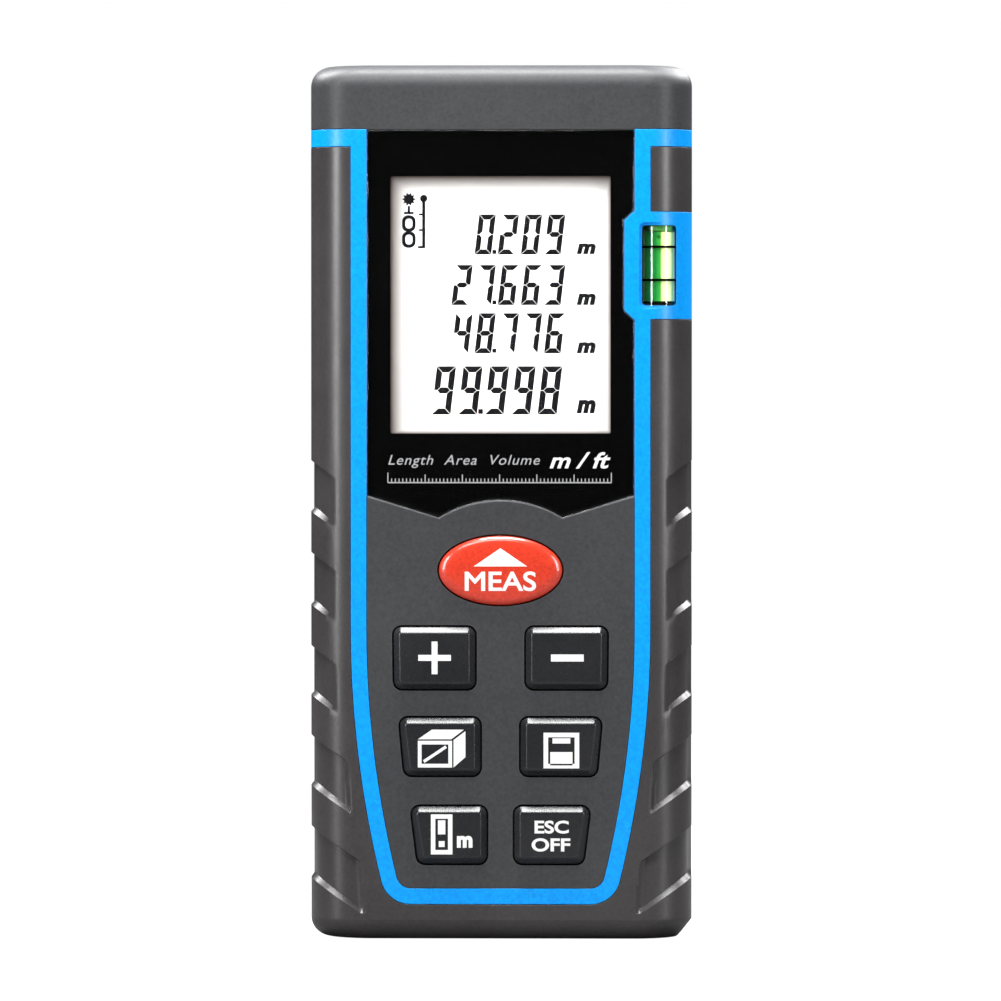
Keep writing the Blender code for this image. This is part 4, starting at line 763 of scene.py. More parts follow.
seal_half = (seal_high.y - seal_low.y) / 2
seal_inset = 1.2 * mm
seal_corner = 1.6 * mm
seal_half_width = half_width - seal_inset
seal_top = top_z - seal_inset
seal_line = [
    (seal_half_width, top_z - 6 * mm), (seal_half_width, seal_inset + eyelet_up),
    (seal_half_width - eyelet_across, seal_inset), (seal_corner - seal_half_width, seal_inset),
    (-seal_half_width, seal_inset + seal_corner), (-seal_half_width, seal_top - seal_corner),
    (seal_corner - seal_half_width, seal_top), (plate_low.x - 2 * mm, seal_top),
]
seal_rubber = rubber("seal_rubber", (0.02, 0.02, 0.021))


def wire(name, points, radius):
    """A round cord or wire through points, as a mesh, so that its surface is what is seen."""
    curve = bpy.data.curves.new(name, "CURVE")
    curve.dimensions = "3D"
    curve.bevel_depth = radius
    curve.bevel_resolution = 4
    curve.use_fill_caps = True
    spline = curve.splines.new("POLY")
    spline.points.add(len(points) - 1)
    for point, place in zip(spline.points, points):
        point.co = (*place, 1)
    return add_piece(name, realised(curve))


seal_cord = wire("case_seal_cord", [(x, seal_low.y + seal_half, z) for x, z in seal_line], seal_half)
shade(seal_cord, seal_rubber, ["case_seal"])


# Soft side skins
# Rubber-like skin moulded over both sides and the foot, with five sloping finger grips a side.
grip_slope = 0.66
grip_deep = 0.62 * mm
grip_panels = (
    (64.6 * mm, 58.3 * mm, 3.65 * mm, 3.65 * mm),
    (52.2 * mm, 45.7 * mm, 3.65 * mm, 3.65 * mm),
    (39.6 * mm, 33.5 * mm, 3.65 * mm, 4.15 * mm),
    (27.5 * mm, 21.3 * mm, 4.95 * mm, 5.65 * mm),
    (15.2 * mm, 8.8 * mm, 6.75 * mm, 7.45 * mm),
)
frame_back = face_y + side_radius + 1.5 * mm
head_ramp, foot_ramp, end_ramp = 0.25 * mm, 0.62 * mm, 0.35 * mm


def ramp(value, start, end):
    """0 before start, 1 after end, and even in between."""
    return min(max((value - start) / (end - start), 0), 1)


grip_rows = [3.5 * mm, 5 * mm, 6.5 * mm, 70 * mm, 75 * mm]
for head, foot, _, _ in grip_panels:
    grip_rows += [head, head - head_ramp, (head + foot) / 2, foot, foot - foot_ramp, foot - 1.5 * mm]


def grip_point(x, y, z, outward):
    """Leans the rows with the grips' slope, and sinks the points inside a grip."""
    inward = min(half_width - abs(x), 7 * mm)
    lean = grip_slope * inward * ramp(z, 2.6 * mm, 8.0 * mm) * (1 - ramp(z, 66 * mm, 75 * mm))
    deep = 0.0
    for head, foot, head_reach, foot_reach in grip_panels:
        inside = min(1 - ramp(z, head - head_ramp, head), ramp(z, foot - foot_ramp, foot))
        if inside > 0:
            along = (head - z) / (head - foot)
            reach = head_reach + (foot_reach - head_reach) * along
            fade = end_ramp if reach > 4.5 * mm else 2.4 * mm
            open_end = 1 - ramp(half_width - abs(x), reach - fade, reach)
            deep = grip_deep * inside * open_end**2 * (3 - 2 * open_end)
            deep *= 1 - ramp(y, seam_y - 2.9 * mm, seam_y - 2.5 * mm)
    return x - outward[0] * deep, y - outward[1] * deep, z - lean


above_skins = rectangle(-far_out, far_out, trim_bar_low - joint_line, 3 * top_z)
skins = body_form("side_skins", 0, front_seam, rows=grip_rows, corner_steps=40, shape_point=grip_point)
cut(
    skins,
    slab("panel_room", [inside_trim(trim_half + joint_line, 2 * top_z)], -far_out, 1.5 * far_out),
    slab("skin_top", [above_skins], -2 * far_out, 2 * far_out),
    slab("level_room", [level_frame(joint_line)], -far_out, frame_back + joint_line),
    body_form("skin_core", skin, seam_y + 5 * mm, low=-5 * mm),
)
grip_rubber = moulded("grip_rubber", (0.042, 0.039, 0.040), 0.31, grain_size=1500, grain=0.8, wear=0.25,
                      dust=0.15, edge=0.1 * mm)
shade(skins, grip_rubber, ["grip_bumper"])


# Blue line and level frame
# A bright glossy strip let in flush between panel and skins. It wraps over the sides at the top and
# widens into a frame for the level.
trim = body_form("blue_line", 0, front_seam)
beyond = 2 * half_width
top_bar = [(beyond, trim_top), (beyond, trim_bar_low), (trim_line_x + trim_half, trim_bar_low)]
strip_edge = mirrored(top_bar + trim_path(trim_half)) + inside_trim(-trim_half, trim_top)[::-1]
strip_area = slab("strip_area", [strip_edge], -far_out, far_out)
frame_area = slab("frame_area", [level_frame(0)], -2 * far_out, frame_back)
carve(trim, "INTERSECT", join(strip_area, frame_area))


def level_opening(grow, radius):
    wide, tall = 4.6 * mm / 2 + grow, 10.8 * mm / 2 + grow
    return rectangle(vial_x - wide, vial_x + wide, vial_z - tall, vial_z + tall, radius)


vial_wide = vial_high.x - vial_low.x
cut(
    trim,
    body_form("trim_core", skin, seam_y + 5 * mm, low=-5 * mm),
    slab("level_look", [level_opening(0, 0.5 * mm)], -far_out, seam_y),
    slab("level_edge", [level_opening(0.35 * mm, 0.8 * mm)], -far_out, face_y + 0.3 * mm),
    pillar("vial_room", vial_wide + 0.1 * mm, vial_x, vial_y, vial_low.z - 0.1 * mm, vial_high.z + 0.1 * mm),
)
trim_plastic = moulded("trim_plastic", (0.0, 0.32, 0.92), 0.36, grain_size=4000, grain=0.12, wear=0.05,
                       dust=0.03, edge=0.15 * mm, coat=0.05, specular=0.35)
shade(trim, trim_plastic, ["blue_trim"])


# Display window
# One clear acrylic sheet with a polished rounded edge, glued into the panel. Its back is printed
# black except over the display. The line of names and the small scale are printed in grey.
def handled_group():
    """Faint smears and hairline scratches of a polished surface that is touched and wiped."""
    tree, given, out, place = new_group("handled_surface", "Roughness Height", Roughness=0.05, Scratches=0.3)
    smear = calc(tree, "MAXIMUM", calc(tree, "SUBTRACT", noise(tree, place, 70.0), 0.5), 0.0)
    stretched = put(tree, "Mapping", Vector=place, Rotation=(0.3, 0.7, 0.4), Scale=(3000, 60, 900))
    hair = calc(tree, "GREATER_THAN", noise(tree, stretched.outputs["Vector"], 1.0, 2.0), 0.74)
    hair = calc(tree, "MULTIPLY", hair, given["Scratches"])
    rough = calc(tree, "ADD", given["Roughness"], calc(tree, "MULTIPLY", smear, 0.25))
    feed(tree, out, Roughness=calc(tree, "ADD", rough, calc(tree, "MULTIPLY", hair, 0.12)), Height=hair)
    return tree


handled_surface = handled_group()


def clear_plastic(name, colour, ior=1.49, roughness=0.02, scratches=0.25):
    """Clear moulding that lets light through to what is behind it, with faint hairline scratches."""
    made, tree, shader = new_look(name)
    touched = use_group(tree, handled_surface, Roughness=roughness, Scratches=scratches)
    bump = put(tree, "Bump", Distance=0.002 * mm, Strength=0.1, Height=touched["Height"])
    feed(tree, shader, Base_Color=colour, Metallic=0.0, Transmission_Weight=1.0, IOR=ior,
         Roughness=touched["Roughness"], Normal=bump.outputs["Normal"])
    through = put(tree, "BsdfTransparent", Color=colour)
    mix_shaders(tree, put(tree, "LightPath").outputs["Is Shadow Ray"], shader.outputs[0], through.outputs[0],
                "Material Output")
    return made


def printed_group():
    """Ink or film that is slightly uneven in cover and sheen."""
    tree, given, out, place = new_group("printed_surface", "Colour Roughness", Colour=(0.5, 0.5, 0.5),
                                        Roughness=0.5)
    cover = noise(tree, place, 1200.0, 3.0)
    uneven = calc(tree, "MULTIPLY", calc(tree, "SUBTRACT", cover, 0.5), 0.25)
    thin = mix(tree, calc(tree, "MULTIPLY", cover, 0.3), given["Colour"], (0.75, 0.75, 0.75), "MULTIPLY")
    feed(tree, out, Colour=thin, Roughness=calc(tree, "ADD", given["Roughness"], uneven))
    return tree


printed_surface = printed_group()


def ink(name, colour, roughness=0.5, specular=0.4):
    """Printed ink or a printed film."""
    made, tree, shader = new_look(name)
    surface = use_group(tree, printed_surface, Colour=colour, Roughness=roughness)
    feed(tree, shader, Base_Color=surface["Colour"], Roughness=surface["Roughness"],
         Specular_IOR_Level=specular)
    return made


window_low, window_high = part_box("display_window")
window = slab("display_window_sheet", [window_edge(0)], window_low.y, window_high.y, lead=0.22 * mm)
window_acrylic = clear_plastic("window_acrylic", (1, 1, 1))
shade(window, window_acrylic, ["display_window"])
mask_edge = window_edge(-0.15 * mm)
mask = slab("window_print", [mask_edge, display_edge], window_high.y + 0.005 * mm, window_high.y + 0.045 * mm)
black_ink = ink("black_ink", (0.001, 0.001, 0.001), 0.55, specular=0.0)
shade(mask, black_ink)


def lettering(name, words, wide, tall, centre, near, thick=0.03 * mm, weight=0.0, slant=0.0, gap=1.0):
    """Words as thin solid letters of an exact width and height, facing the front."""
    text = bpy.data.curves.new(name, "FONT")
    text.body = words
    text.align_x = "CENTER"
    text.bevel_depth = weight
    text.bevel_resolution = 1
    text.shear = slant
    text.space_character = gap
    text.extrude = 0.5
    text.resolution_u = 6
    mesh = realised(text)
    low = [min(vert.co[i] for vert in mesh.vertices) for i in range(3)]
    high = [max(vert.co[i] for vert in mesh.vertices) for i in range(3)]
    for vert in mesh.vertices:
        u, v, w = ((vert.co[i] - low[i]) / (high[i] - low[i]) for i in range(3))
        vert.co = (centre[0] + (u - 0.5) * wide, near + (1 - w) * thick, centre[1] + (v - 0.5) * tall)
    mesh.flip_normals()
    shape = bmesh.new()
    shape.from_mesh(mesh)
    bmesh.ops.remove_doubles(shape, verts=shape.verts, dist=1e-8)
    bpy.data.meshes.remove(mesh)
    return add_piece(name, mesh_of(name, shape))


def marks(name, outlines, near, thick=0.03 * mm):
    """Several flat printed shapes as one piece. Each outline is a list of (x, z)."""
    shape = bmesh.new()
    for outline in outlines:
        bridge(shape, [[shape.verts.new((x, y, z)) for x, z in outline] for y in (near, near + thick)])
    return add_piece(name, mesh_of(name, shape))


def box_mark(x, z, wide, tall):
    return [(x - wide / 2, z - tall / 2), (x + wide / 2, z - tall / 2), (x + wide / 2, z + tall / 2),
            (x - wide / 2, z + tall / 2)]


print_y = face_y - 0.008 * mm
grey_ink = ink("grey_ink", (0.42, 0.42, 0.43), 0.5)
white_ink = ink("white_ink", (0.88, 0.88, 0.87), 0.45)
names = lettering("name_line", "Length  Area  Volume", 20.4 * mm, 1.75 * mm, (-4.9 * mm, 64.45 * mm), print_y,
                  slant=0.28, gap=1.12)
shade(names, grey_ink, angle=80)
units = lettering("unit_mark", "m / ft", 8.2 * mm, 2.2 * mm, (10.7 * mm, 64.6 * mm), print_y, weight=0.02,
                  slant=0.3)
shade(units, white_ink, angle=80)
scale_z, scale_left, scale_right = 61.6 * mm, -15.15 * mm, 14.9 * mm
divisions, parts_each = 6, 10
ticks = divisions * parts_each
scale_lines = [box_mark((scale_left + scale_right) / 2, scale_z, scale_right - scale_left, 0.16 * mm)]
for i in range(ticks + 1):
    tall = 1.35 * mm if i % ticks == 0 else 1.1 * mm if i % parts_each == 0 else 0.55 * mm
    x = scale_left + (scale_right - scale_left) * i / ticks
    scale_lines.append(box_mark(x, scale_z + tall / 2, 0.13 * mm, tall))
scale = marks("ruler_marks", scale_lines, print_y)
shade(scale, grey_ink, angle=80)


# Display
# A pale liquid-crystal glass in a white carrier with a light plate behind. Its dark segments show
# three stored readings and the latest one, larger, below.
def box_slab(name, node, radius, lead, look, hole=None):
    """A plate that fills a CAD node's box, seen from the front, perhaps with a hole."""
    low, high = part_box(node)
    rings = [box_edge((low, high), 0.0, radius)] + ([hole] if hole else [])
    return shade(slab(name, rings, low.y, high.y, lead), look, [node])


white_plastic = moulded("white_plastic", (0.72, 0.71, 0.68), 0.5, dust=0.1, wear=0.1)
glass_room = box_edge((display_low, display_high), 0.05 * mm)
box_slab("display_carrier", "lcd_frame", 1 * mm, 0.2 * mm, white_plastic, glass_room)
box_slab("display_light", "lcd_backlight", 0.4 * mm, 0.15 * mm, white_plastic)


def display_group():
    """Bright in the middle, with a painted shadow of the window's edge: broad along the top and the left,
    narrow along the right and the foot.
    """
    tree, given, out, place = new_group(
        "display_shade", "Colour Roughness", Colour=(0.8, 0.8, 0.8), Edge_Colour=(0.1, 0.1, 0.1),
        Left=-0.0148, Right=0.0148, Top=0.1028, Foot=0.0682, Reach=0.002,
    )
    axes = put(tree, "SeparateXYZ", Vector=place).outputs
    near_edge = calc(tree, "DIVIDE", calc(tree, "SUBTRACT", axes["X"], given["Left"]), given["Reach"])
    sides = ((given["Top"], axes["Z"], 1.0), (given["Right"], axes["X"], 3.5),
             (axes["Z"], given["Foot"], 3.5))
    for upper, lower, share in sides:
        near = calc(tree, "DIVIDE", calc(tree, "SUBTRACT", upper, lower), given["Reach"])
        near_edge = calc(tree, "SMOOTH_MIN", near_edge, calc(tree, "MULTIPLY", near, share), 0.25)
    lit = calc(tree, "MINIMUM", calc(tree, "MAXIMUM", near_edge, 0.0), 1.0)
    colour = mix(tree, calc(tree, "POWER", lit, 0.7), given["Edge Colour"], given["Colour"])
    rough = calc(tree, "ADD", calc(tree, "MULTIPLY", noise(tree, place, 400.0), 0.2), 0.25)
    feed(tree, out, Colour=colour, Roughness=rough)
    return tree


def lit_look(name, group, glow, clear=0.0, **inputs):
    """A material with a group's colour, in which it also glows faintly."""
    made, tree, shader = new_look(name)
    surface = use_group(tree, group, **inputs)
    feed(tree, shader, Base_Color=surface["Colour"], Roughness=surface["Roughness"],
         Emission_Color=surface["Colour"], Emission_Strength=glow, Transmission_Weight=clear)
    return made


# Edge_Colour is the colour of the painted shadow along the display's edges.
display_glass = lit_look(
    "display_glass", display_group(), 0.42, Colour=(0.82, 0.81, 0.79), Edge_Colour=(0.06, 0.032, 0.022),
    Left=display_low.x + display_border, Right=display_high.x - display_border,
    Top=display_high.z - display_border, Foot=display_low.z + display_border, Reach=3.2 * mm,
)
box_slab("display_glass_plate", "lcd_glass", 0.2 * mm, 0.1 * mm, display_glass)
digit_parts = {
    "0": "abcdef", "1": "bc", "2": "abged", "3": "abgcd", "4": "fgbc", "5": "afgcd", "6": "afgedc",
    "7": "abc", "8": "abcdefg", "9": "abcdfg",
}
lean_share = 0.12


def segment_outlines(digit, x, z, wide, tall, stroke):
    """The lit bars of one digit whose lower left corner is at (x, z)."""
    half, t, gap = tall / 2, stroke, stroke * 0.045
    over = [(gap, tall), (wide - gap, tall), (wide - t - gap, tall - t), (t + gap, tall - t)]
    left = [(0, tall - gap), (0, half + gap), (t / 2, half + gap), (t, half + t / 2 + gap),
            (t, tall - t - gap)]
    bars = {"a": over, "f": left}
    bars["b"] = [(wide - u, v) for u, v in left]
    for part, source in (("d", "a"), ("e", "f"), ("c", "b")):
        bars[part] = [(u, tall - v) for u, v in bars[source]]
    bars["g"] = [(t / 2 + gap, half), (t + gap, half + t / 2), (wide - t - gap, half + t / 2),
                 (wide - t / 2 - gap, half), (wide - t - gap, half - t / 2), (t + gap, half - t / 2)]
    return [[(x + u + v * lean_share, z + v) for u, v in bars[part]] for part in digit_parts[digit]]


def reading(number, right, foot, pitch, wide, tall, stroke):
    """A row of digits that ends at a right edge, with its point."""
    outlines = []
    digits = number.replace(".", "")
    for i, digit in enumerate(digits):
        x = right - wide - lean_share * tall - (len(digits) - 1 - i) * pitch
        outlines += segment_outlines(digit, x, foot, wide, tall, stroke)
        if number.index(".") == i + 1:
            point = stroke * 0.8
            outlines.append(box_mark(x + wide + (pitch - wide) / 2, foot + stroke / 2, point, point))
    return outlines


row_right = 8.7 * mm
readings = []
for number, foot in (("0.209", 92.3 * mm), ("27.663", 85.5 * mm), ("48.776", 79.0 * mm)):
    readings += reading(number, row_right, foot, 3.12 * mm, 2.25 * mm, 5.4 * mm, 0.70 * mm)
readings += reading("99.998", 8.3 * mm, 70.75 * mm, 3.58 * mm, 2.6 * mm, 6.5 * mm, 0.82 * mm)
segment_y = display_low.y - 0.015 * mm
segments = marks("display_digits", readings, segment_y)
segment_ink = ink("segment_ink", (0.004, 0.004, 0.005), 0.5, specular=0.1)
shade(segments, segment_ink, angle=80)
icon_x, icon_z = -12.4 * mm, 95.4 * mm


def circle(x, z, diameter, steps=40):
    turns = [2 * pi * i / steps for i in range(steps)]
    return [(x + diameter / 2 * cos(a), z + diameter / 2 * sin(a)) for a in turns]


def icon_loop(z):
    """One link of the device sign: a rounded frame."""
    edges = [(0.92 * mm, 1.12 * mm), (0.48 * mm, 0.66 * mm)]
    rings = [rectangle(icon_x - wide, icon_x + wide, z - tall, z + tall, wide * 0.9) for wide, tall in edges]
    return slab("icon_loop", rings, segment_y, segment_y + 0.03 * mm)


device_icon = join(icon_loop(icon_z + 1.08 * mm), icon_loop(icon_z - 1.08 * mm))
device_icon.name = "display_device_icon"
shade(device_icon, segment_ink, angle=80)
star_x, star_z = icon_x, icon_z + 4.35 * mm
star = []
for i in range(20):
    reach = 0.95 * mm if i % 2 == 0 else 0.62 * mm
    star.append((star_x + reach * cos(pi * i / 10), star_z + reach * sin(pi * i / 10)))
dot_x = icon_x + 2.0 * mm
bracket = [
    box_mark(icon_x, icon_z + 3.0 * mm, 0.32 * mm, 0.9 * mm),
    box_mark(icon_x, icon_z + 2.5 * mm, 1.3 * mm, 0.3 * mm),
    circle(dot_x, star_z + 0.1 * mm, 1.0 * mm, 20),
    box_mark(dot_x, icon_z + 0.95 * mm, 0.42 * mm, 6.4 * mm),
    box_mark(dot_x - 0.45 * mm, icon_z - 2.1 * mm, 0.7 * mm, 0.32 * mm),
    box_mark(dot_x - 0.4 * mm, icon_z + 0.2 * mm, 0.5 * mm, 0.28 * mm),
    box_mark(dot_x - 0.4 * mm, icon_z + 2.3 * mm, 0.5 * mm, 0.28 * mm),
]
signs = marks("display_signs", [star] + bracket, segment_y)
shade(signs, segment_ink, angle=80)
unit_places = ((92.35 * mm, 1.5 * mm), (85.5 * mm, 1.6 * mm), (79.0 * mm, 1.55 * mm), (70.9 * mm, 1.9 * mm))
for i, (foot, tall) in enumerate(unit_places):
    unit = lettering(f"display_unit_{i}", "m", 2.6 * mm, tall, (11.5 * mm, foot + tall / 2), segment_y,
                     weight=0.06, slant=0.2)
    shade(unit, segment_ink, angle=80)


# Keypad mat
# A soft black silicone mat on the board, with rounded edges and a hole under every key for its
# plunger.
plunger = 5.0 * mm
well_wide = plunger + 1.2 * mm
wells = [circle(0, measure_z, well_wide)]
for name, (outer_head, outer_foot) in small_keys.items():
    side, inner = key_side(name)
    z = middle_of(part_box(name))[2]
    wells.append(circle(side * (inner + (outer_head + outer_foot) / 2) / 2, z, well_wide))
mat_low, mat_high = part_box("keypad_mat")
mat_edge = box_edge((mat_low, mat_high), 0.0, 1 * mm)
mat = slab("key_mat", [mat_edge] + wells, mat_low.y, mat_high.y, lead=0.25 * mm)
mat_rubber = rubber("mat_rubber", (0.025, 0.025, 0.027))
shade(mat, mat_rubber, ["keypad_mat"])


# Keys
# Seven hard plastic key caps stand 0.8 mm out of the panel: a red domed one for measuring and six
# dark bevelled ones. Each has a flange behind the panel and a plunger. The legends are printed.
key_front = measure_low.y
flange_y = face_y + wall + 0.3 * mm
cap_back = flange_y + 0.4 * mm
# How far the key's outline is grown, and how deep it lies there, from the panel out: a round
# shoulder, a flat bevel and a soft edge to the face.
bevel_steps = ((0.0, 0.90), (-0.03, 0.82), (-0.10, 0.73), (-0.70, 0.13), (-0.80, 0.05), (-0.95, 0.01),
               (-1.15, 0.0))


def finish_key(name, cap, x, flange_edge, look):
    """Joins a cap with its flange and its plunger."""
    z = middle_of(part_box(name))[2]
    flange = slab(name + "_flange", [flange_edge], flange_y, flange_y + 0.8 * mm)
    stem = post(name + "_stem", plunger, x, z, flange_y + 0.35 * mm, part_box(name)[1].y)
    join(cap, flange, stem)
    shade(cap, look, [name], name + "_body")


key_plastic = moulded("key_plastic", (0.015, 0.0155, 0.018), 0.26, grain_size=4200, grain=0.35, wear=0.3,
                      dust=0.12, edge=0.1 * mm)
for name in small_keys:
    rings = [[(x, cap_back, z) for x, z in key_edge(name, 0)]]
    for grow, depth in bevel_steps:
        rings.append([(x, key_front + depth * mm, z) for x, z in key_edge(name, grow * mm)])
    xs = [x for x, z in key_edge(name, 0)]
    cap = loft(name + "_cap", rings)
    finish_key(name, cap, (min(xs) + max(xs)) / 2, key_edge(name, flange_reach), key_plastic)

dome_rise = 0.50 * mm
rim_drop = 0.36 * mm
dome_limit = 0.965


def dome_y(x, z):
    """The depth of the red key's surface in front of a point of the panel."""
    share = min(hypot(x / measure_wide, (z - measure_z) / measure_tall), 1.0) * dome_limit
    rim = ramp(share, 0.86 * dome_limit, dome_limit)
    crown = (1 - sqrt(1 - share**2)) / (1 - sqrt(1 - dome_limit**2))
    return key_front + dome_rise * crown + rim_drop * rim**1.6


rings = [[(x, cap_back, z) for x, z in oval(0)], [(x, dome_y(x, z) + 0.05 * mm, z) for x, z in oval(0)]]
for share in (0.995, 0.98, 0.955, 0.92, 0.87, 0.80, 0.71, 0.60, 0.47, 0.33, 0.18, 0.06):
    ring = [(x * share, measure_z + (z - measure_z) * share) for x, z in oval(0)]
    rings.append([(x, dome_y(x, z), z) for x, z in ring])
measure_cap = loft("measure_key_cap", rings)
measure_plastic = moulded("measure_plastic", (0.66, 0.045, 0.02), 0.24, grain_size=5000, grain=0.08,
                          wear=0.15, dust=0.04, coat=0.5)
finish_key("measure_key", measure_cap, 0, oval(flange_reach), measure_plastic)


print_lift = 0.012 * mm
key_print = key_front - print_lift


def drape(piece):
    """Lays a flat print over the red key's dome."""
    shape = bmesh.new()
    shape.from_mesh(piece.data)
    bmesh.ops.triangulate(shape, faces=shape.faces)
    for _ in range(4):
        long_edges = [edge for edge in shape.edges if edge.calc_length() > 0.45 * mm]
        bmesh.ops.subdivide_edges(shape, edges=long_edges, cuts=1)
        bmesh.ops.triangulate(shape, faces=shape.faces)
    for vert in shape.verts:
        vert.co.y = dome_y(vert.co.x, vert.co.z) - print_lift + (vert.co.y - key_front)
    shape.to_mesh(piece.data)
    shape.free()
    return piece


arrow = [(-3.6 * mm, 50.35 * mm), (3.6 * mm, 50.35 * mm), (0, 52.8 * mm)]
triangle = marks("measure_key_arrow", [arrow], key_front, 0.05 * mm)
shade(drape(triangle), white_ink, body="measure_key_body", angle=80)
word = lettering("measure_key_word", "MEAS", 9.6 * mm, 2.65 * mm, (0, 48.35 * mm), key_front, 0.05 * mm,
                 weight=0.018)
shade(drape(word), white_ink, body="measure_key_body", angle=80)


def frame_lines(x, z, wide, tall, stroke):
    """Four bars round a rectangle."""
    across, up = (wide - stroke) / 2, (tall - stroke) / 2
    return ([box_mark(x, z + end, wide, stroke) for end in (up, -up)]
            + [box_mark(x + side, z, stroke, tall - 2 * stroke) for side in (-across, across)])


def stroke_line(start, end, stroke):
    start, end = Vector(start), Vector(end)
    along = (end - start).normalized() * stroke / 2
    side = Vector((-along.y, along.x))
    return [tuple(corner) for corner in (start - side, end - side, end + side, start + side)]


def legend(key, name, outlines):
    shade(marks(name, outlines, key_print), white_ink, body=key + "_body", angle=80)


def legend_word(key, name, words, wide, tall, centre, weight=0.02):
    piece = lettering(name, words, wide, tall, centre, key_print, weight=weight)
    shade(piece, white_ink, body=key + "_body", angle=80)


plus_z = 38.05 * mm
legend("plus_key", "plus_sign", [box_mark(-8.85 * mm, plus_z, 4.4 * mm, 0.8 * mm),
                                 box_mark(-8.85 * mm, plus_z + 1.3 * mm, 0.8 * mm, 1.8 * mm),
                                 box_mark(-8.85 * mm, plus_z - 1.3 * mm, 0.8 * mm, 1.8 * mm)])
legend("minus_key", "minus_sign", [box_mark(9.0 * mm, plus_z, 4.4 * mm, 0.95 * mm)])
cx, cz = -8.8 * mm, 25.1 * mm
box_sign = frame_lines(cx, cz, 4.6 * mm, 3.6 * mm, 0.5 * mm)
box_sign.append(stroke_line((cx - 1.5 * mm, cz - 1.0 * mm), (cx + 1.5 * mm, cz + 1.0 * mm), 0.4 * mm))
top_face = ((-2.3, 2.0), (2.2, 2.0), (3.9, 3.3), (-0.4, 3.3))
side_face = ((2.5, -1.8), (4.1, -0.4), (4.1, 3.1), (2.5, 1.9))
for face in (top_face, side_face):
    box_sign.append([(cx + u * mm, cz + v * mm) for u, v in face])
legend("area_volume_key", "box_sign", box_sign)
cx, cz = 8.2 * mm, 25.6 * mm
disk = frame_lines(cx, cz, 4.8 * mm, 4.8 * mm, 0.62 * mm)
disk += [box_mark(cx, cz - 1.1 * mm, 3.0 * mm, 1.8 * mm), box_mark(cx, cz + 1.3 * mm, 2.4 * mm, 0.7 * mm)]
legend("memory_key", "disk_sign", disk)
cx, cz = -7.9 * mm, 14.3 * mm
meter_sign = frame_lines(cx, cz, 2.9 * mm, 5.4 * mm, 0.6 * mm)
meter_sign += [box_mark(cx, cz + 0.95 * mm, 1.0 * mm, 1.9 * mm),
               box_mark(cx, cz - 1.3 * mm, 0.8 * mm, 0.8 * mm)]
legend("reference_key", "edge_sign", meter_sign)
legend_word("reference_key", "edge_letter", "m", 2.1 * mm, 1.6 * mm, (-4.8 * mm, 13.3 * mm), 0.05)
legend_word("off_clear_key", "clear_word", "ESC", 4.6 * mm, 1.75 * mm, (6.9 * mm, 15.3 * mm), 0.028)
legend_word("off_clear_key", "off_word", "OFF", 5.2 * mm, 1.8 * mm, (6.8 * mm, 12.9 * mm), 0.028)


# Level
# A clear acrylic vial of dyed spirit with a bubble and two dark rings, closed by a plug and pressed
# against the blue frame by a foam pad.
def turned(name, profile, base, toward=(0, 0, 1), steps=64):
    """A solid of revolution. profile gives (radius, height) from one end to the other, along toward."""
    shape = bmesh.new()
    turn = Vector((0, 0, 1)).rotation_difference(Vector(toward)).to_matrix().to_4x4()
    place = Matrix.Translation(base) @ turn
    rows = []
    for radius, height in profile:
        around = [2 * pi * i / steps for i in range(steps)] if radius > 1e-7 else [0.0]
        ring = [Vector((radius * cos(a), radius * sin(a), height)) for a in around]
        rows.append([shape.verts.new(place @ point) for point in ring])
    bridge(shape, rows)
    return add_piece(name, mesh_of(name, shape))


tube_r, bore_r = (vial_high.x - vial_low.x) / 2, 2.1 * mm
tube_long = vial_high.z - vial_low.z
tube = turned("level_tube", [
    (0, 0), (tube_r - 0.3 * mm, 0), (tube_r, 0.3 * mm), (tube_r, tube_long - 0.2 * mm),
    (tube_r - 0.2 * mm, tube_long), (bore_r, tube_long), (bore_r, 0.9 * mm), (bore_r * 0.7, 0.6 * mm),
    (0, 0.5 * mm),
], (vial_x, vial_y, vial_low.z))
vial_acrylic = clear_plastic("vial_acrylic", (0.93, 0.97, 0.9), scratches=0.1)
shade(tube, vial_acrylic, ["vial_body"])
liquid_r = bore_r - 0.02 * mm
liquid_long = tube_long - 1.2 * mm
liquid = turned("level_liquid", [
    (0, 0.55 * mm), (liquid_r * 0.7, 0.65 * mm), (liquid_r, 0.95 * mm), (liquid_r, liquid_long),
    (0, liquid_long)], (vial_x, vial_y, vial_low.z))
bubble = turned("bubble", [(1.25 * mm * sin(pi * i / 16), 1.35 * mm * -cos(pi * i / 16)) for i in range(17)],
                (vial_x, vial_y - 0.85 * mm, vial_z + 3.85 * mm), steps=48)
cut(liquid, bubble)
def liquid_group():
    """Dyed spirit: deep green, with painted light: darker on the left and a painted highlight, the pale
    stripe that light makes through a round tube, towards the right.
    """
    tree, given, out, place = new_group("liquid_shade", "Colour Roughness", Left=0.019, Width=0.004)
    along = put(tree, "SeparateXYZ", Vector=place).outputs["X"]
    across = calc(tree, "DIVIDE", calc(tree, "SUBTRACT", along, given["Left"]), given["Width"])
    painted_light_ramp = put(tree, "ValToRGB", Fac=across)
    stops = painted_light_ramp.color_ramp.elements
    # These stops paint light and shade across the tube: deep green on its shaded left, a pale painted
    # highlight stripe to the right.
    painted_light_stops = ((0.0, (0.01, 0.10, 0.02)), (0.38, (0.006, 0.15, 0.03)), (0.54, (0.04, 0.30, 0.05)),
              (0.60, (0.78, 0.84, 0.34)), (0.80, (0.92, 0.93, 0.60)), (0.90, (0.22, 0.46, 0.10)),
              (1.0, (0.06, 0.26, 0.05)))
    for share, colour in painted_light_stops:
        stops.new(share).color = (*colour, 1)
    stops.remove(stops[0])
    stops.remove(stops[-1])
    rough = calc(tree, "MULTIPLY", noise(tree, place, 900.0), 0.25)
    feed(tree, out, Colour=painted_light_ramp.outputs["Color"], Roughness=rough)
    return tree
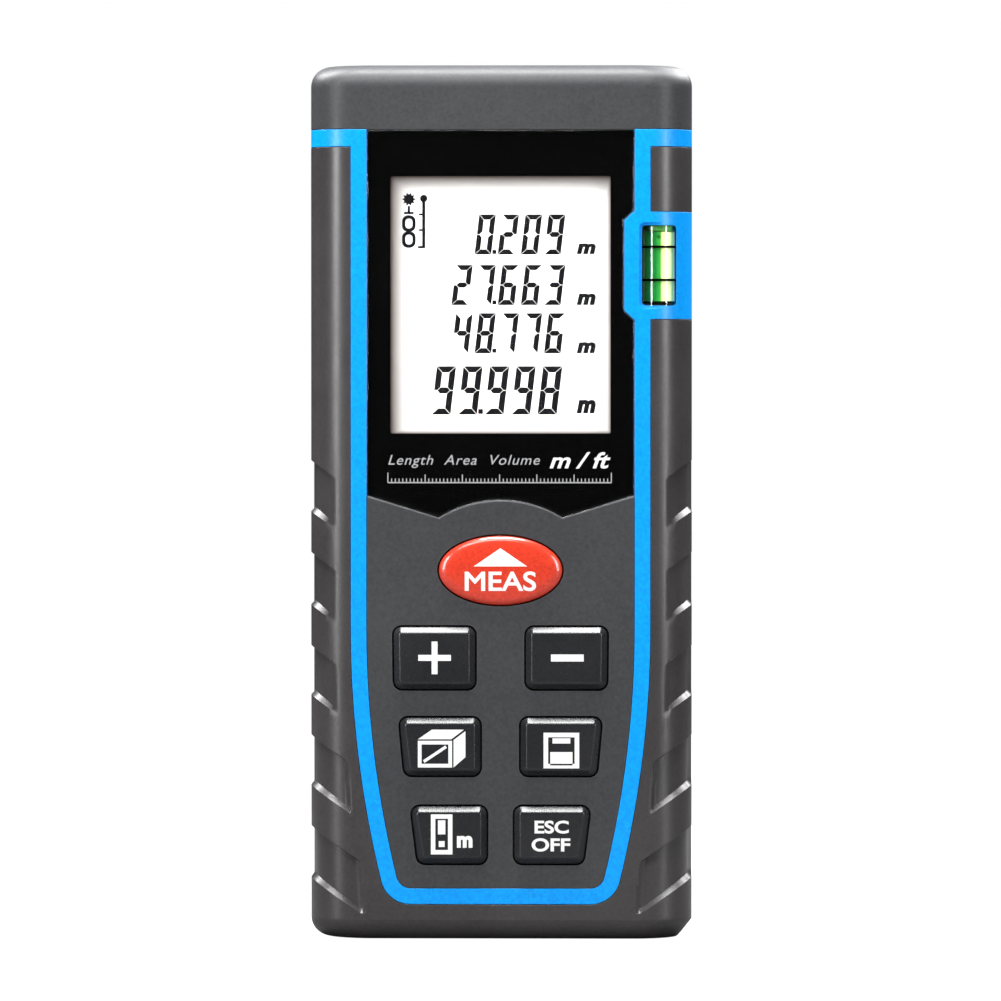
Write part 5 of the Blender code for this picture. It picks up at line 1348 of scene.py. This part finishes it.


# The spirit glows faintly though it is no lamp: painted light.
vial_liquid = lit_look("vial_liquid", liquid_group(), 0.35, 0.15, Left=vial_x - liquid_r, Width=2 * liquid_r)
shade(liquid, vial_liquid, ["vial_fluid"])
black_plastic = moulded("black_plastic", (0.02, 0.02, 0.021), 0.5, grain_size=2800, grain=0.4, dust=0.2)
for number, height in ((1, vial_z + 2.35 * mm), (2, vial_z - 2.1 * mm)):
    ring = turned(f"level_ring_{number}", [
        (tube_r, 0), (tube_r + 0.04 * mm, 0), (tube_r + 0.04 * mm, 0.32 * mm), (tube_r, 0.32 * mm),
        (tube_r - 0.02 * mm, 0.16 * mm), (tube_r, 0)], (vial_x, vial_y, height))
    shade(ring, black_ink)
plug = turned("level_plug", [
    (0, 0), (liquid_r - 0.15 * mm, 0), (liquid_r, 0.15 * mm), (liquid_r, 0.85 * mm),
    (liquid_r - 0.15 * mm, mm), (0, mm)], (vial_x, vial_y, vial_high.z - 1.1 * mm))
plug_plastic = moulded("plug_plastic", (0.07, 0.32, 0.06), 0.4, grain=0.2, dust=0.05)
shade(plug, plug_plastic, ["vial_plug"])
foam_look = rubber("foam", (0.05, 0.05, 0.052), 0.95)
vial_pad = box_slab("level_pad", "vial_pad", 0.5 * mm, 0.15 * mm, foam_look)


# Circuit board and small electronics
# A green glass-fibre board with tinned tracks under its lacquer, two chips and a buzzer. It is
# screwed to posts behind the panel.
def board_group():
    """Green lacquer over faint tracks."""
    tree, given, out, place = new_group("lacquered_board", "Colour Roughness Height",
                                        Colour=(0.02, 0.12, 0.05))
    turned_place = put(tree, "Mapping", Vector=place, Rotation=(radians(90), 0, 0)).outputs["Vector"]
    tracks = put(tree, "TexBrick", Vector=turned_place, Scale=500.0, Mortar_Size=0.03).outputs["Fac"]
    colour = mix(tree, calc(tree, "MULTIPLY", tracks, 0.6), given["Colour"], (0.06, 0.24, 0.08))
    rough = calc(tree, "ADD", calc(tree, "MULTIPLY", noise(tree, place, 300.0), 0.25), 0.2)
    feed(tree, out, Colour=colour, Roughness=rough, Height=tracks)
    return tree


def bumped(name, group, distance, strength, metallic, **inputs):
    """A material whose colour, roughness and relief come from a group."""
    made, tree, shader = new_look(name)
    surface = use_group(tree, group, **inputs)
    bump = put(tree, "Bump", Distance=distance, Strength=strength, Height=surface["Height"])
    feed(tree, shader, Base_Color=surface["Colour"], Roughness=surface["Roughness"], Metallic=metallic,
         Normal=bump.outputs["Normal"])
    return made


circuit_board = bumped("circuit_board", board_group(), 0.03 * mm, 1.0, 0.0)


def dress(name, look):
    """Gives a kept CAD node its material."""
    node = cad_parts[name]
    node.data.materials.clear()
    node.data.materials.append(look)


for name in ("main_board", "detector_board"):
    dress(name, circuit_board)
for name in ("processor_chip", "ranging_chip", "buzzer"):
    dress(name, black_plastic)


# Metal parts
# Plated steel springs, contacts and screws, and turned brass for the optics. Handling and age leave
# fine scratches and a dulled patchy film.
def metal_group():
    """Fine scratches and a dulled patchy film."""
    tree, given, out, place = new_group("worn_metal", "Colour Roughness Height", Colour=(0.6, 0.6, 0.6),
                                        Roughness=0.3, Tarnish=0.3)
    film = calc(tree, "MULTIPLY", noise(tree, place, 500.0, 5.0), given["Tarnish"])
    feed(tree, out, Colour=mix(tree, film, given["Colour"], (0.35, 0.32, 0.3), "MULTIPLY"),
         Roughness=calc(tree, "ADD", given["Roughness"], calc(tree, "MULTIPLY", film, 0.5)),
         Height=noise(tree, place, 6000.0, 2.0))
    return tree


worn_metal = metal_group()


def metal(name, colour, roughness, tarnish=0.4):
    return bumped(name, worn_metal, 0.004 * mm, 0.3, 1.0, Colour=colour, Roughness=roughness, Tarnish=tarnish)


steel = metal("steel", (0.62, 0.62, 0.63), 0.24)
brass = metal("brass", (0.75, 0.55, 0.25), 0.28)
for name in ("board_screw_1", "board_screw_2", "optics_screw_1", "optics_screw_2", "detector_can"):
    dress(name, steel)


def pan_screw(name, x, z, head_y, head_low):
    """A pan-head screw with a cross recess, driven in from the rear."""
    head, shank = 2.0 * mm, 1.1 * mm
    root = shank * 0.78
    depth = head_y - head_low
    profile = [(0, 0), (shank * 0.55, 0), (shank * 0.8, 0.8 * mm)]
    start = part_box(name)[0].y
    length = head_low - start
    threads = int((length - 1.5 * mm) / (0.8 * mm))
    for i in range(threads):
        foot = 0.9 * mm + 0.8 * mm * i
        profile += [(root, foot), (shank, foot + 0.3 * mm), (shank, foot + 0.4 * mm), (root, foot + 0.7 * mm)]
    profile += [(root, length), (head, length), (head, length + depth * 0.35)]
    for i in range(1, 7):
        turn = pi / 2 * i / 6
        profile.append((head - 0.9 * mm * (1 - cos(turn)), length + depth * (0.35 + 0.65 * sin(turn))))
    profile.append((0, length + depth))
    made = turned(name + "_pan", profile, (x, start, z), (0, 1, 0), 40)
    arm, slim = 1.25 * mm, 0.24 * mm
    cross = [(arm, -slim), (arm, slim), (slim, slim), (slim, arm), (-slim, arm), (-slim, slim), (-arm, slim),
             (-arm, -slim), (-slim, -slim), (-slim, -arm), (slim, -arm), (slim, -slim)]
    recess = slab(name + "_cross", [[(x + u, z + v) for u, v in cross]], head_y - 0.7 * mm, far_out)
    cut(made, recess)
    shade(made, steel, [name])


for name, (x, z, head_y) in zip(case_screws, screw_spots):
    pan_screw(name, x, z, head_y, head_y - 1.3 * mm)


# Cells, springs and contacts
# Two small cells lie head to tail under the door. Each rests on a coiled spring at one end and a
# plated plate at the other. A bridge plate joins them at the foot.
printed = {"grain_size": 5000, "grain": 0.1, "wear": 0.2, "dust": 0.1, "coat": 0.4}
cell_wrap = moulded("cell_wrap", (0.035, 0.05, 0.075), 0.3, **printed)
cell_band = moulded("cell_band", (0.42, 0.43, 0.44), 0.3, **printed)
nub_high, nub_r = 1.0 * mm, 1.9 * mm
for number, up in ((1, 1), (2, -1)):
    low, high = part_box(f"battery_{number}")
    r = (high.x - low.x) / 2
    x, y, _ = middle_of((low, high))
    base = (x, y, low.z if up > 0 else high.z)
    long = high.z - low.z - nub_high
    can = turned(f"battery_{number}_can", [
        (0, 0), (r - 1.2 * mm, 0), (r - 1.0 * mm, 0.12 * mm), (r - 0.5 * mm, 0.12 * mm),
        (r - 0.12 * mm, 0.5 * mm), (r - 0.12 * mm, long - 0.7 * mm), (r - 0.5 * mm, long - 0.2 * mm),
        (r - 1.0 * mm, long - 0.1 * mm), (r - 1.3 * mm, long - 0.35 * mm),
        (nub_r + 0.7 * mm, long - 0.3 * mm), (nub_r + 0.1 * mm, long),
        (nub_r, long + nub_high - 0.25 * mm), (nub_r - 0.25 * mm, long + nub_high), (0, long + nub_high),
    ], base, (0, 0, up))
    shade(can, steel, [f"battery_{number}"])
    ends = 0.35 * mm
    split, core = long * 0.7, r - 0.1 * mm
    wrap = [(core, 0.25 * mm + ends), (r - ends, 0.25 * mm), (r, 0.25 * mm + ends), (r, split), (r, split),
            (core, split - ends), (core, 0.25 * mm + ends)]
    band = [(core, split + ends), (r, split), (r, split), (r, long - 2 * ends), (r - ends, long - ends),
            (core, long - 2 * ends), (core, split + ends)]
    for part, profile, look in (("wrap", wrap, cell_wrap), ("band", band, cell_band)):
        shade(turned(f"battery_{number}_{part}", profile, base, (0, 0, up)), look)


def coil(name, node, wide, narrow, flipped):
    """A cone of spring wire with closed end turns."""
    low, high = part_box(node)
    x, y, _ = middle_of((low, high))
    thick, count, turns = 0.25 * mm, 150, 4.2
    points = []
    for i in range(count + 1):
        share = i / count
        rise = min(max((share - 0.18) / 0.64, 0), 1)
        radius = wide + (narrow - wide) * share
        height = thick + (high.z - low.z - 2 * thick) * rise
        z = high.z - height if flipped else low.z + height
        points.append((x + radius * cos(2 * pi * turns * share), y + radius * sin(2 * pi * turns * share), z))
    shade(wire(name, points, thick), steel, [node])


coil("spring_coil_1", "spring_1", 2.95 * mm, 1.7 * mm, False)
coil("spring_coil_2", "spring_2", 2.95 * mm, 1.7 * mm, True)
for name in ("contact_bridge", "contact_positive", "contact_negative"):
    low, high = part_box(name)
    edge = rectangle(low.x, high.x, low.y, high.y, 1 * mm)
    plate = slab(name + "_plate", [edge], low.z, high.z, 0.12 * mm, True)
    shade(plate, steel, [name])


# Optics
# A black block holds the large receiving lens, the brass laser barrel and the detector. Light comes
# in through a tinted filter in the raised plate on the top end.
dress("optics_block", black_plastic)
ribbon_film = ink("ribbon_film", (0.55, 0.26, 0.05), 0.3)
dress("optics_ribbon", ribbon_film)
lens_low, lens_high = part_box("receiving_lens")
lens_x, lens_y, _ = middle_of((lens_low, lens_high))
lens_r, lens_half = (lens_high.x - lens_low.x) / 2, (lens_high.z - lens_low.z) / 2
crown = [(lens_r * i / 12, lens_half * (0.45 + 0.55 * (1 - (i / 12) ** 2))) for i in range(13)]
both_crowns = [(r, -h) for r, h in crown] + crown[::-1]
lens = turned("front_lens", both_crowns, (lens_x, lens_y, lens_low.z + lens_half))
clear_glass = clear_plastic("clear_glass", (0.96, 0.98, 1), 1.52, 0.0, 0.03)
shade(lens, clear_glass, ["receiving_lens"])


def washer(name, node, hole, look, lead=0.15 * mm):
    """A flat ring with softened edges, seen from above."""
    low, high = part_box(node)
    x, y, _ = middle_of((low, high))
    rings = [circle(x, y, high.x - low.x, 64)] + ([circle(x, y, hole, 64)] if hole else [])
    shade(slab(name, rings, low.z, high.z, lead, True), look, [node])


washer("lens_ring", "lens_retainer", lens_r * 2 - 2 * mm, brass)
washer("collimator_glass", "collimator_lens", 0, clear_glass, 0.3 * mm)
barrel_low, barrel_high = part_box("laser_barrel")
barrel_wide = barrel_high.x - barrel_low.x
barrel = pillar("laser_tube", barrel_wide, laser_x, laser_y, barrel_low.z, barrel_high.z, 64)
cut(barrel, pillar("barrel_bore", 4.3 * mm, laser_x, laser_y, barrel_high.z - 2 * mm, top_z, 64))
shade(barrel, brass, ["laser_barrel"])
filter_low, filter_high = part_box("filter_glass")
filter_d = filter_high.x - filter_low.x
plate = slab("lens_plate", [plate_room(-0.04 * mm)], plate_low.z, plate_high.z, 0.25 * mm, True)
cut(
    plate,
    pillar("light_hole", filter_d - 1.2 * mm, lens_x, lens_y, plate_low.z - mm, plate_high.z + mm, 64),
    pillar("filter_seat", filter_d + 0.1 * mm, lens_x, lens_y, filter_low.z - 0.05 * mm,
           plate_high.z + 2 * mm, 64),
)
shade(plate, black_plastic, ["end_plate"])
filter_glass = clear_plastic("filter_tint", (0.25, 0.03, 0.05), 1.5, 0.0, 0.1)
washer("receiver_filter", "filter_glass", 0, filter_glass)
washer("laser_cover_glass", "laser_window", 0, clear_glass, 0.12 * mm)


# Rear label
# A printed silver film in a shallow seat above the battery door. Its panels are left plain.
label_film = metal("label_film", (0.42, 0.43, 0.44), 0.42, 0.2)
box_slab("rear_label_film", "rear_label", mm, 0.0, label_film)
label_x, _, label_z = middle_of((label_low, label_high))
panels = frame_lines(label_x, label_z, 22.4 * mm, 28.4 * mm, 0.25 * mm)
panels += [box_mark(label_x, label_z + offset * mm, 19.6 * mm, 0.2 * mm) for offset in (7.5, -1.5, -9.5)]
panels += [box_mark(label_x - 5.4 * mm, label_z + 10.8 * mm, 8.6 * mm, 3.2 * mm)]
label_print = marks("label_panels", panels, label_high.y - 0.01 * mm, 0.02 * mm)
shade(label_print, black_ink, angle=80)


# Battery door
# A thin cover flush with the back. Two tongues at its foot hook under the case, a catch at its head
# snaps in, and three grooves give the thumb a hold. A foam pad on its inside presses on the cells.
def round_rim(piece, radius, chosen):
    """Softens the sharp edges of a finished piece where chosen is true."""
    shape = bmesh.new()
    shape.from_mesh(piece.data)
    soften(shape, radius, chosen)
    shape.to_mesh(piece.data)
    shape.free()
    return piece


door = slab("battery_cover", [door_edge(0)], door_inner, rear_y)
round_rim(door, 0.3 * mm, lambda co: co.y > rear_y - 0.01 * mm)
lip_y = door_low.y
hooks = []
for side in (-1, 1):
    low_x, high_x = side * hook_x - hook_half, side * hook_x + hook_half
    tongue = rectangle(low_x, high_x, door_low.z, door_foot + 3 * mm)
    root = rectangle(low_x + 0.01 * mm, high_x - 0.01 * mm, door_foot + 0.3 * mm, door_foot + 2.9 * mm)
    hooks.append(slab(f"tongue_{side}", [tongue], lip_y, door_inner - 0.3 * mm))
    hooks.append(slab(f"tongue_root_{side}", [root], lip_y + 0.1 * mm, door_inner + 0.3 * mm))
catch_edge = rectangle(-3.5 * mm, 3.5 * mm, door_high.z - 2.5 * mm, door_high.z - 0.02 * mm)
hooks.append(slab("catch", [catch_edge], lip_y, door_inner + 0.3 * mm, 0.2 * mm))
join(door, *hooks)
grooves = []
for z in (56 * mm, 59 * mm, 62 * mm):
    groove = rectangle(-7 * mm, 7 * mm, z, z + mm, 0.45 * mm)
    grooves.append(slab("groove", [groove], rear_y - 0.4 * mm, far_out))
cut(door, *grooves)
shade(door, case_plastic, ["battery_door"], "door")
pad_low, pad_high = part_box("door_foam")
pad_thick = pad_high.y - pad_low.y
pad_rings = []
for inset, depth in ((0.05, 1.0), (0.0, 0.75), (0.0, 0.5), (0.08, 0.28), (0.3, 0.1), (0.8, 0.02), (2.0, 0.0)):
    ring = box_edge((pad_low, pad_high), -inset * mm, 2.2 * mm)
    pad_rings.append([(x, pad_low.y + depth * pad_thick, z) for x, z in ring])
door_pad = loft("door_pad", pad_rings)
shade(door_pad, foam_look, ["door_foam"], "door")
